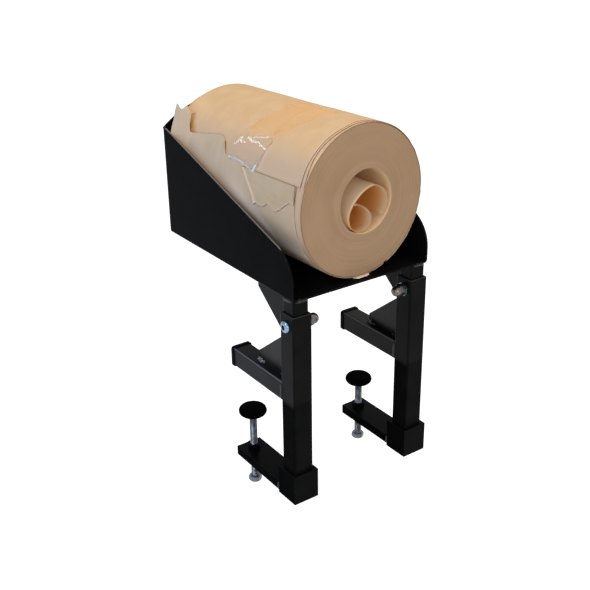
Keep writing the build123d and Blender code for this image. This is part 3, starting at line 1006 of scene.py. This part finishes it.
    def lift(self, behind: Array, degrees: Array) -> Array:
        """How far the torn outer sheet stands off the roll.

        It flares towards the back, in proportion to the distance past 330 mm, more so near the top,
        curls up along its short cut at 220 mm, and has slow waves that die out at its held edges.
        """
        flare = follow(degrees, self.flare) * np.maximum(behind - self.flare_from, 0)
        curl = 3.5 * (1 - smooth_step(np.abs(behind - 224), 0, 12)) * (1 - smooth_step(degrees, 146, 160))
        loose = smooth_step(behind, 190, 260) * (1 - smooth_step(degrees, 168, 185))
        return flare + curl + (0.7 + 0.6 * waves(behind, degrees * WAVE_ARC, 21, 70)) * loose

    def outer_sheet(self) -> None:
        """The torn outermost sheet: from its torn upper edge down and under the roll's left side.

        Rows run from the front edge to the back, and columns from the torn top to the end underneath.
        As the back edge depends on the angle and the top on the depth, they are worked out three times
        in turn. The radius is the roll's and the sheet's lift. Shade is painted under the scrap's lower edge,
        a highlight on the front edge, and light and an orange glow along the tray's wall.
        """
        share, across = unit_grid(240, 170)
        degrees = SHEET_TOP + across * (SHEET_END - SHEET_TOP)
        start = follow(degrees, self.sheet_front) + 0.5 * waves(degrees * WAVE_ARC, 0.0, 31, 30)
        for _ in range(3):
            behind = start + share * (follow(degrees, self.sheet_back) - start)
            tear = 0.32 * waves(behind, 0.0, 32, 6) * smooth_step(behind, 215, 222)
            top = follow(behind, self.torn_top) + tear
            degrees = top + across**1.15 * (SHEET_END - top)
        surface = self.wrap(self.radius + self.sheet_height + self.lift(behind, degrees), degrees, behind)
        below = (degrees - follow(behind, self.patch_bottom)) * DEGREE_ARC
        off_wall = (follow(behind, self.by_the_wall) - degrees) * DEGREE_ARC
        # Painted shade under the scrap's lower edge, and a painted highlight on the front edge.
        tone = 0.5 * near(np.maximum(below, 0), 1.5) * (behind < 126) - 0.2 * near(behind - start, 1.0)
        # Painted light in the pocket by the tray's wall.
        tone = tone - 0.6 * near(off_wall - 11, 16) * (1 - smooth_step(behind, 150, 230))
        # Painted orange glow along the wall's top edge.
        warmth = 0.4 * near(off_wall, 7)
        replaces = ("outer_sheet",)
        self.lay("torn_outer_sheet", surface, OUTER_KRAFT, replaces=replaces, tone=tone, warmth=warmth)

    def patch(self) -> None:
        """A torn scrap on the outer sheet, with a fold up its left edge and a ragged lower edge.

        The radius is the roll's, a fold along the left edge, a lip along the lower and front edges and
        crushed waves. Shade is painted under the front sheet's edge, and highlights on the fold and the lower
        edge.
        """
        share, across = unit_grid(130, 60)
        guess = SHEET_TOP + across * 25
        front = follow(guess, self.sheet_front) + 1.5
        left = follow(guess, self.patch_left)
        behind = front + share * (left - front)
        bottom = follow(behind, self.patch_bottom) + 0.35 * waves(behind, 0.0, 41, 5)
        degrees = SHEET_TOP + across * (bottom - SHEET_TOP)
        fold = 1.5 * (1 - smooth_step(np.abs(behind - left + 3), 0, 6))
        lip = 0.9 * smooth_step(across, 0.8, 1.0) + 0.8 * (1 - smooth_step(share, 0, 0.06))
        crush = 0.18 * waves(behind, degrees * WAVE_ARC, 42, 17) * smooth_step(across, 0.1, 0.3)
        radius = self.radius + self.scrap_height + fold + lip + crush
        surface = self.wrap(radius, degrees, behind)
        # Painted shade under the front sheet's edge; painted highlights on the fold and the lower edge.
        tone = 0.8 * near((degrees - FRONT_SHEET_END) * DEGREE_ARC, 1.1) * smooth_step(behind, 14, 20)
        tone = tone - 0.35 * near(behind - left + 3, 3.0) - 0.4 * smooth_step(across, 0.93, 1.0)
        self.lay("torn_patch", surface, SCRAP_KRAFT, tone=tone)

    def front_sheet(self) -> None:
        """The sheet that lies over the top of the roll's front end, its lower edge over the patch.

        The radius is the roll's, a rise over the patch and a curl along the back edge. Highlights are
        painted on the front edge and the lower edge, and cool light on its side.
        """
        share, across = unit_grid(70, 130)
        degrees = 40 + across * (FRONT_SHEET_END - 40)
        front = follow(degrees, self.winding_edge) + 0.2
        back = follow(degrees, self.front_sheet_back) + 0.4 * waves(degrees * WAVE_ARC, 0.0, 51, 14)
        behind = front + share * (back - front)
        over_patch = 1.1 * smooth_step(degrees, 154, 158.5)
        curled = 1.6 * smooth_step(share, 0.93, 1.0) * smooth_step(degrees, 136, 142)
        radius = self.radius + self.sheet_height + over_patch + curled
        surface = self.wrap(radius, degrees, behind)
        # Painted highlights on the front and lower edges, and painted cool light on the side.
        tone = -0.6 * near(behind - front, 0.9) - 0.5 * near((degrees - FRONT_SHEET_END) * DEGREE_ARC, 1.0)
        self.lay("front_top_sheet", surface, SHEET_KRAFT, tone=tone, warmth=-self.painted_cool_light(degrees))

    def tan_tape(self) -> None:
        """The tan tape, a band that slants over the roll's top and bridges the sheets' joint.

        The radius is the roll's, a step up on to the front sheet and a faint ripple. The tape is milky,
        with a painted highlight, along the left of its front edge and fades out where it comes loose at its
        left end.
        """
        share, across = unit_grid(70, 110)
        ends = 0.5 * waves(share * 95, 0.0, 61, 7)
        degrees = self.tan_start + ends + across * (self.tan_span - ends)
        front, back = follow(degrees, self.tape_lower), follow(degrees, self.tape_upper)
        behind = front + share * (back - front)
        step = 0.4 * (1 - smooth_step(behind, 126, 131))
        ripple = 0.1 * waves(behind, degrees * WAVE_ARC, 62, 22)
        surface = self.wrap(self.radius + self.tan_height + step + ripple, degrees, behind)
        # Painted highlight along the tape's front edge, partly a milky crease.
        ridge = 0.4 * near(behind - front, 1.4) * smooth_step(degrees, 122, 127)
        held = 1 - smooth_step(across, 0.8, 1.0)
        replaces = ("parcel_tape",)
        self.lay("tan_tape", surface, TAN_TAPE, self.tan_film, Slot.TAPE, replaces, crease=ridge, fade=held)

    def clear_tape(self) -> None:
        """The clear tape over the tear: crumpled, with milky ridges where it is creased, partly painted
        glints.

        The height is a sum of narrow ridges round straight lines on the roll; the crease attribute is
        the same ridges, so that they are milky with painted glints where they stand up, and carry a painted
        bluish reflection where they face the window.
        """
        share, across = unit_grid(190, 90)
        behind = self.clear_front + share * self.clear_length
        upper, lower = follow(behind, self.clear_upper), follow(behind, self.clear_lower)
        degrees = upper + across * (lower - upper)
        arc = degrees * DEGREE_ARC
        crease, sky = np.zeros(degrees.shape), np.zeros(degrees.shape)
        wander = 1.1 * waves(arc, behind, 74, 11), 0.8 * waves(behind, arc, 73, 9)
        place = np.stack([behind + wander[0], arc + wander[1]], -1)
        for facing_window, weight, points in self.creases:
            corners = np.array(points) * [1, DEGREE_ARC]
            for start, leg in zip(corners, np.diff(corners, axis=0)):
                t = np.clip((place - start) @ leg / (leg @ leg), 0, 1)
                off = np.linalg.norm(place - start - t[..., None] * leg, axis=-1)
                ridge = weight * near(off, 2.4 if facing_window else 1.9)
                sky = np.where(ridge > crease, float(facing_window), sky)
                crease = np.maximum(crease, ridge)
        height = self.clear_height + 0.3 * crease + 0.1 * waves(behind, arc, 71, 16)
        surface = self.wrap(self.radius + height, degrees, behind)
        # Painted glints in specks along the creases, and a painted reflection where they face the window.
        speckle = np.clip(1.5 * waves(behind, arc, 72, 3.2) + 0.75, 0, 1)
        milky_glint = np.clip(1.6 * crease * np.where(sky > 0.5, 0.6, speckle), 0, 1)
        film = self.clear_film
        self.lay("clear_tape", surface, CLEAR_TAPE, film, Slot.TAPE, crease=milky_glint, sky=sky, fade=1.0)

    def centre_curl(self) -> None:
        """The loose inner windings: one strip that follows tangent arcs inwards, swept along the roll.

        The front edge leans back by slow waves. The side that faces the bore is painted with light behind
        its edge, and the front edge with shade. The other side has a painted glow that grows the deeper it
        lies, and painted cool light near the front.
        """
        point = np.array([self.bore_shift + 0.72 * self.bore_radius, -0.602 * self.bore_radius])
        heading = math.radians(41.9)
        path = []
        for size, turned in self.curl_arcs:
            radius = size * self.bore_radius
            centre = point + radius * np.array([-math.sin(heading), math.cos(heading)])
            swept = np.linspace(0, math.radians(turned), max(8, int(turned / 2.5)))
            arc = centre + radius * np.stack([np.sin(heading + swept), -np.cos(heading + swept)], -1)
            path.append(arc[:-1])
            point = arc[-1]
            heading += math.radians(turned)
        path = np.concatenate([*path, point[None, :]])
        travelled = np.concatenate([[0], np.cumsum(np.linalg.norm(np.diff(path, axis=0), axis=1))])[None, :]
        share = np.linspace(0, 1, 60)[:, None]
        start = np.maximum(0.8 + 0.8 * waves(travelled, 0.0, 81, 90) + 0.012 * travelled, -0.5)
        behind = start + share * (self.length - 2 - start)
        surface = self.place(path[None, :, 0], path[None, :, 1], behind)
        outside = np.repeat([1.0, 0.0], behind.size)
        depth = np.tile((behind - start).ravel(), 2)
        make_piece(
            "centre_windings",
            thick_sheet(surface, self.inner_sheet),
            INNER_KRAFT,
            Body.ROLL,
            replaces=("centre_curl",),
            # Painted shade at the front edge, painted light on the side that faces the bore, and painted glow
            # deep on the other side.
            attributes={
                "tone": 0.3 * np.exp(-depth / 2) - 0.8 * outside * (1 - np.exp(-depth / 3)),
                "warmth": (1 - outside) * (1 - 1.9 * np.exp(-depth / 13)),
            },
        )

    def tail(self) -> None:
        """A small torn tail of the outermost winding that lies on the floor under the front rim.

        It reaches forward by a flat-topped curve with small waves, and rises as the square of the way.
        """
        across = np.linspace(-1, 1, 40)[None, :]
        share = np.linspace(0, 1, 16)[:, None]
        reach = 6.0 * (1 - across**4) + 0.4 * waves(across * 20, 0.0, 91, 6)
        surface = self.place(17 * across - 2, 0.05 - self.radius + 0.5 * share**2, 8 - share * (8 + reach))
        # The tail is painted lighter all over: painted light in the shade where it lies.
        self.lay("winding_tail", surface, SHEET_KRAFT, tone=-1.0)

    def build(self) -> None:
        """Make every paper piece."""
        self.body()
        under = self.radius - self.under_depth
        self.winding("under_winding", under, self.under_edge, self.middle_edge, 101)
        outer = self.radius - self.outer_depth
        self.winding("outer_winding", outer, self.middle_edge, self.winding_edge, 111, outermost=True)
        self.outer_sheet()
        self.patch()
        self.front_sheet()
        self.tan_tape()
        self.clear_tape()
        self.centre_curl()
        self.tail()


# --- Steel ------------------------------------------------------------------


@dataclass
class ClampScrew:
    """A hex-headed clamp screw with a rolled thread, a neck and the hidden button in the pad."""

    side: Side
    diameter: float = 14.0
    pitch: float = 2.0
    thread_depth: float = 0.9
    head_flats: float = 22.0
    head_height: float = 10.0
    neck_length: float = 5.6
    neck_diameter: float = 9.0
    button_height: float = 4.0
    button_diameter: float = 13.0
    sharp_from: float = 32.0        # degrees between two faces
    columns: int = 48

    def build(self) -> None:
        """One closed skin of rings up the axis.

        The head's radius is that of a hexagon, cut back by a cone at both ends. The thread's is a
        triangle wave of height less the turn round the axis, which makes it a helix.
        """
        node = f"clamp_screw_{self.side.word}"
        low, high = cad_box(node)
        centre = (low + high) / 2
        angle = np.arange(self.columns) * FULL_TURN / self.columns
        sixth = FULL_TURN / 6
        face, tall = self.head_flats / 2, self.head_height
        hexagon = face / np.cos((angle + sixth / 2) % sixth - sixth / 2)
        head_z = low[2] + np.array([0, 0, 0.5, 1.2, 2, tall - 2, tall - 1.2, tall])
        uncut = 2 * face
        cone = [0.5 * face, face - 0.8, face + 0.1, face + 1.1, uncut, uncut, face + 1.1, face - 0.4]
        head = np.minimum(hexagon[None, :], np.array(cone)[:, None])
        head_top = low[2] + tall
        button_z = high[2] - self.button_height
        shank_top = button_z - self.neck_length
        shank_z = np.arange(head_top, shank_top, self.pitch / 8)
        phase = (shank_z[:, None] / self.pitch - angle[None, :] / FULL_TURN) % 1
        groove = self.thread_depth * np.clip(1.25 * (1 - np.abs(2 * phase - 1)) - 0.12, 0, 1)
        shank = self.diameter / 2 - groove * smooth_step(shank_z, head_top + 1, head_top + 5)[:, None]
        upper_z = np.array([shank_top, shank_top + 0.01, button_z - 0.01, button_z, high[2] - 0.4, high[2]])
        neck, button = self.neck_diameter / 2, self.button_diameter / 2
        upper = np.array([self.diameter / 2 - 1, neck, neck, button, button, 0.94 * button])
        radii = np.concatenate([head, shank, np.repeat(upper[:, None], self.columns, axis=1)])
        heights = np.concatenate([head_z, shank_z, upper_z])[:, None] + 0 * radii
        rings = np.stack([centre[0] + radii * np.cos(angle), centre[1] + radii * np.sin(angle), heights], -1)
        shape = closed_rings(rings)
        piece = make_piece(f"threaded_{node}", shape, ZINC, self.side.screw, replaces=(node,))
        piece.data.set_sharp_from_angle(angle=math.radians(self.sharp_from))


@dataclass
class ClampPad:
    """A moulded pad with a full round rim, open below for the screw's neck and button."""

    side: Side
    diameter: float = 52.0
    rim_round: float = 8.0
    crown: float = 0.8
    neck_hole: float = 9.2
    cavity: float = 13.2
    cavity_floor: float = 5.0
    cavity_height: float = 4.6
    sharp_from: float = 40.0        # degrees between two faces
    columns: int = 96

    def build(self) -> None:
        """One closed skin of revolution, from the middle of the top over the rim into the cavity.

        The profile is a parabola over the crown, two quarter circles round the rim and the steps of
        the neck's hole and the button's cavity.
        """
        node = f"clamp_pad_{self.side.word}"
        low, high = cad_box(node)
        centre, height = (low + high) / 2, high[2] - low[2] - self.crown
        turn = np.radians(np.linspace(90, 0, 16))
        reach, r = self.diameter / 2 - self.rim_round, self.rim_round
        crown_at = np.linspace(0.04, 0.96, 8)
        hole, cavity, floor = self.neck_hole / 2, self.cavity / 2, self.cavity_floor
        ceiling = floor + self.cavity_height
        below = [hole + 0.6, hole, hole, cavity, cavity, 0.3]
        radii = [crown_at * reach, reach + r * np.cos(turn), reach + r * np.cos(turn[::-1]), below]
        heights = [height + self.crown * (1 - crown_at**2), height - r + r * np.sin(turn)]
        heights += [r - r * np.sin(turn[::-1]), [0, 0.6, floor, floor, ceiling, ceiling]]
        around = np.arange(self.columns) * FULL_TURN / self.columns
        radius, z = np.concatenate(radii)[:, None], np.concatenate(heights)[:, None] + low[2]
        parts = centre[0] + radius * np.cos(around), centre[1] + radius * np.sin(around), z + 0 * around
        shape = closed_rings(np.stack(parts, -1))
        piece = make_piece(f"moulded_{node}", shape, PAD_RUBBER, self.side.pad, (node,))
        piece.data.set_sharp_from_angle(angle=math.radians(self.sharp_from))


@dataclass
class WeldBead:
    """A straight fillet weld: a half-sunk bead with the ripples of the weld pool, coated with the frame."""

    name: str
    start: tuple[float, float, float]
    end: tuple[float, float, float]
    body: Body
    radius: float = 2.2
    ripple: float = 3.2
    seed: int = 0
    lumps: float = 0.12         # how uneven the bead is
    finish: Finish = WELD_COAT
    spacing: float = 0.55       # between two rings of points
    pool: float = 0.13          # how far a ripple stands out, as a share of the radius
    askew: tuple[float, float, float] = (0.31, 0.42, 0.85)      # a direction that no bead runs in
    columns: int = 14

    def build(self) -> None:
        """Rings along a line, whose radius falls to nothing at the ends and swells with each ripple."""
        start, end = np.array(self.start), np.array(self.end)
        length = float(np.linalg.norm(end - start))
        ahead = (end - start) / length
        side = np.cross(ahead, self.askew)
        side /= np.linalg.norm(side)
        up = np.cross(side, ahead)
        at = np.linspace(0, length, max(12, int(length / self.spacing)))
        angle = np.arange(self.columns)[:, None] * FULL_TURN / self.columns
        taper = np.sqrt(np.clip(1 - np.abs(2 * at / length - 1) ** (length / 3), 0.02, 1))
        pool = 1 + self.pool * np.abs(np.sin(math.pi * at / self.ripple))
        uneven = 1 + self.lumps * waves(at, 0.0, self.seed + 200, 9)
        radii = (self.radius * taper * pool * uneven)[:, None, None]
        middle = (start + at[:, None] * ahead)[:, None, :]
        rings = middle + radii * (np.cos(angle) * side + np.sin(angle) * up)
        make_piece(self.name, closed_rings(rings), self.finish, self.body)


@dataclass
class Frame:
    """The welded steel frame: finishes for its CAD pieces, and the weld beads that join them."""

    finishes: ClassVar[dict[str, Finish]] = {
        "arm_end_cap": CAP_PLASTIC,
        "clamp_pad": PAD_RUBBER,
        "tray": TRAY_COAT,
        "tray_back": TRAY_COAT,
        "upper_arm": ARM_COAT,
        "outer_tube": LEG_COAT,
        "lower_gusset": GUSSET_COAT,
        "upper_gusset": PowderCoat("black_powder_coat_on_upper_gussets", gloss=0.05),
        "jaw_socket": JAW_COAT,
        "lower_arm": JAW_COAT,
        "clamp_nut": JAW_COAT,
        "leg_bolt": BRIGHT_ZINC,
        "leg_washer": BRIGHT_ZINC,
        "leg_nut": DULL_ZINC,
    }
    gusset_half: float = 2.0        # half the thickness of a gusset
    signs: ClassVar[dict[str, int]] = {"minus": -1, "plus": 1}      # a plate's two faces, along X

    def dress(self) -> None:
        """Give every CAD piece its finish: powder coat, unless its name is among the others."""
        for name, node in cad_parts.items():
            kind = name.rsplit("_", 1)[0]
            node.data.materials.clear()
            node.data.materials.append(self.finishes.get(kind, POWDER_COAT).material())

    def side_beads(self, side: Side) -> None:
        """The weld beads of one leg: arm, gussets, slide tube and flat arm."""
        arm_low, arm_high = cad_box(f"upper_arm_{side.word}")
        x, half, top = (arm_low[0] + arm_high[0]) / 2, (arm_high[0] - arm_low[0]) / 2, arm_high[2]
        tube_low, tube_high = cad_box(f"inner_tube_{side.word}")
        tube, tube_y = (tube_high[0] - tube_low[0]) / 2, (tube_low[1] + tube_high[1]) / 2
        bar_low, bar_high = cad_box(f"lower_arm_{side.word}")
        bar, foot, head = bar_low[1], bar_low[2], bar_high[2]
        toe, leg = cad_box(f"lower_gusset_{side.word}")[1][1:]
        tray = cad_box("tray_pan")[0][2]
        clamp = side.clamp
        beads = [
            ("arm_top", (x - half + 3, 0.4, top + 0.2), (x + half - 3, 0.4, top + 0.2), clamp, 2.3),
            ("arm_outer", (x - half - 0.2, 0.4, 3), (x - half - 0.2, 0.4, top - 3), clamp, 2.3),
            ("arm_inner", (x + half + 0.2, 0.4, 3), (x + half + 0.2, 0.4, top - 3), clamp, 2.3),
            ("bar_top", (x - 22, bar, head), (x + 22, bar, head), clamp, 2.8),
            ("bar_outer", (x - 25, bar, foot + 2), (x - 25, bar, head - 2), clamp, 1.6),
            ("bar_inner", (x + 25, bar, foot + 2), (x + 25, bar, head - 2), clamp, 1.6),
        ]
        for word, sign in self.signs.items():
            edge, corner, y, z = x + sign * self.gusset_half, x + sign * tube, tube_y, tray - 0.4
            beads += [
                (f"gusset_foot_near_{word}", (edge, 4, top), (edge, 26, top), clamp, 2.0),
                (f"gusset_leg_{word}", (edge, 0.3, leg - 30), (edge, 0.3, leg - 3), clamp, 2.0),
                (f"upper_gusset_{word}", (edge, 4, tray - 0.3), (edge, 84, tray - 0.3), Body.TRAY, 1.8),
                (f"slide_side_{word}", (corner, y - tube + 3, z), (corner, y + tube - 3, z), Body.TRAY, 3.0),
            ]
        y, z = tube_y - tube, tray - 0.4
        beads.append(("slide_front", (x - tube + 3, y, z), (x + tube - 3, y, z), Body.TRAY, 3.2))
        for number, (name, start, end, body, radius) in enumerate(beads):
            seed = number * 3 + side.value
            WeldBead(f"weld_{name}_{side.word}", start, end, body, radius, seed=seed).build()
        for number, (word, sign) in enumerate(self.signs.items()):
            edge = x + sign * (self.gusset_half + 1.2)
            WeldBead(
                f"weld_gusset_toe_{word}_{side.word}",
                (edge, toe - 20, top + 1.0),
                (edge, toe + 1.5, top + 0.6),
                clamp,
                radius=4.2,
                ripple=5.0,
                seed=60 + number,
                lumps=0.3,
                finish=BARE_WELD if side is Side.LEFT and sign < 0 else WELD_COAT,
            ).build()

    def tray_beads(self) -> None:
        """The weld beads that join the tray's walls and floor to its back plate, inside and out."""
        low, high = cad_box("tray_back_plate")
        y, wall, edge = low[1], 3.0, 1.2
        bottom, top = low[2] + 12, cad_box("tray_pan")[1][2]
        left, right, left_edge, right_edge = low[0] + wall, high[0] - wall, low[0] + edge, high[0] - edge
        beads = [
            ("left_wall", (left, y, bottom), (left, y, top - 3), 1.7),
            ("right_wall", (right, y, bottom), (right, y, top - 3), 1.7),
            ("left_corner", (left_edge, y - 3, top - 1.5), (left_edge, y + 2.5, top), 3.0),
            ("right_corner", (right_edge, y - 3, top - 1.5), (right_edge, y + 2.5, top), 2.1),
        ]
        for number, (name, start, end, radius) in enumerate(beads):
            WeldBead(f"weld_tray_{name}", start, end, Body.TRAY, radius, seed=40 + number).build()

    def build(self) -> None:
        """Dress the CAD pieces and make the beads, the two screws and the two pads."""
        self.dress()
        for side in Side:
            self.side_beads(side)
            ClampScrew(side).build()
            ClampPad(side).build()
        self.tray_beads()


# --- Studio -----------------------------------------------------------------


@dataclass(frozen=True)
class Lamp:
    """A soft box: a square area lamp that looks at a point on the object. Its numbers are metres."""

    name: str
    place: tuple[float, float, float]
    size: float
    power: float
    colour: str
    target: tuple[float, float, float] = (0.0, 0.12, 0.2)

    def build(self) -> None:
        """Hang the lamp."""
        data = bpy.data.lights.new(self.name, "AREA")
        data.energy, data.size, data.color = self.power, self.size, linear(self.colour)[:3]
        aim = Vector(self.target) - Vector(self.place)
        turn = aim.to_track_quat("-Z", "Y").to_matrix().to_4x4()
        add_object(self.name, data).matrix_world = Matrix.Translation(self.place) @ turn


@dataclass(frozen=True)
class Studio:
    """A white studio with soft boxes, and the camera where the photograph was taken from, in metres."""

    ambient: float = 0.34
    floor_size: float = 16.0
    floor_drop: float = 0.064       # under the part: a clamp screw comes down by 60 mm
    floor_white: float = 0.8        # how much light the floor gives back
    floor_glow: float = 0.76        # and how much it adds where it is seen
    camera_place: tuple[float, float, float] = (-0.9078, -1.1438, 0.8221)
    camera_right: tuple[float, float, float] = (0.81732, -0.57602, -0.01373)
    camera_up: tuple[float, float, float] = (0.24873, 0.33124, 0.91017)
    camera_back: tuple[float, float, float] = (-0.51973, -0.74732, 0.41400)
    lens: float = 57.35
    sensor: float = 36.0
    lamps: tuple[Lamp, ...] = (
        Lamp("key_above", (0.7, -0.2, 2.7), 1.8, 31.0, "#fff2e0"),
        Lamp("window_left", (-2.0, 0.0, 2.2), 1.1, 40.0, "#c0d6ff"),
        Lamp("fill_left", (-2.3, -1.4, 1.1), 1.4, 12.0, "#dbe8ff"),
        Lamp("fill_front", (-0.5, -2.6, 0.8), 1.2, 22.0, "#f4f6ff"),
    )

    def seen_directly(self, tree: Tree) -> Socket:
        """Return 1 for rays from the camera, from a gloss or through glass, and 0 for light."""
        seen = add_node(tree, "LightPath", output="Is Camera Ray")
        for kind in ("Is Glossy Ray", "Is Transmission Ray"):
            ray = add_node(tree, "LightPath", output=kind)
            seen = add_node(tree, "Math", {0: seen, 1: ray}, operation="MAXIMUM")
        return seen

    def sky(self) -> None:
        """Make the world: white where it is seen, and a plain ambient light."""
        world = bpy.data.worlds.new("white_studio")
        tree = empty_tree(world)
        strength = add_node(tree, "MapRange", {"Value": self.seen_directly(tree), "To Min": self.ambient})
        light = add_node(tree, "Background", {"Color": (1.0, 1.0, 1.0, 1.0), "Strength": strength})
        add_node(tree, "OutputWorld", {"Surface": light})
        bpy.context.scene.world = world

    def floor(self) -> None:
        """Lay a pale floor that is white where it is lit and keeps a faint shadow."""
        material = bpy.data.materials.new("white_floor")
        tree = empty_tree(material)
        matt = add_node(tree, "BsdfDiffuse", {"Color": (*[self.floor_white] * 3, 1.0)})
        glow = add_node(tree, "Emission", {"Strength": self.floor_glow})
        seen = add_node(tree, "AddShader", {0: matt, 1: glow})
        both = add_node(tree, "MixShader", {0: self.seen_directly(tree), 1: matt, 2: seen})
        add_node(tree, "OutputMaterial", {"Surface": both})
        half, z = self.floor_size / 2, CAD_BOX[0][2] - self.floor_drop
        corners = [(-half, -half, z), (half, -half, z), (half, half, z), (-half, half, z)]
        mesh = bpy.data.meshes.new("floor")
        mesh.from_pydata(corners, [], [(0, 1, 2, 3)])
        mesh.materials.append(material)
        plane = add_object("floor", mesh)

    def camera(self) -> None:
        """Stand the camera where the photograph was taken from."""
        data = bpy.data.cameras.new("photo_camera")
        data.lens, data.sensor_width = self.lens, self.sensor
        camera = add_object("photo_camera", data)
        axes = Matrix((self.camera_right, self.camera_up, self.camera_back)).transposed()
        camera.matrix_world = Matrix.Translation(self.camera_place) @ axes.to_4x4()
        bpy.context.scene.camera = camera

    def build(self) -> None:
        """Set up world, floor, lamps and camera."""
        bpy.context.scene.view_settings.view_transform = "Standard"
        self.sky()
        self.floor()
        for lamp in self.lamps:
            lamp.build()
        self.camera()


def main() -> None:
    """Build the studio, the steel frame and the paper roll."""
    logging.basicConfig(level=logging.INFO, format="%(name)s: %(message)s")
    Studio().build()
    Frame().build()
    PaperRoll().build()


if __name__ == "__main__":
    main()
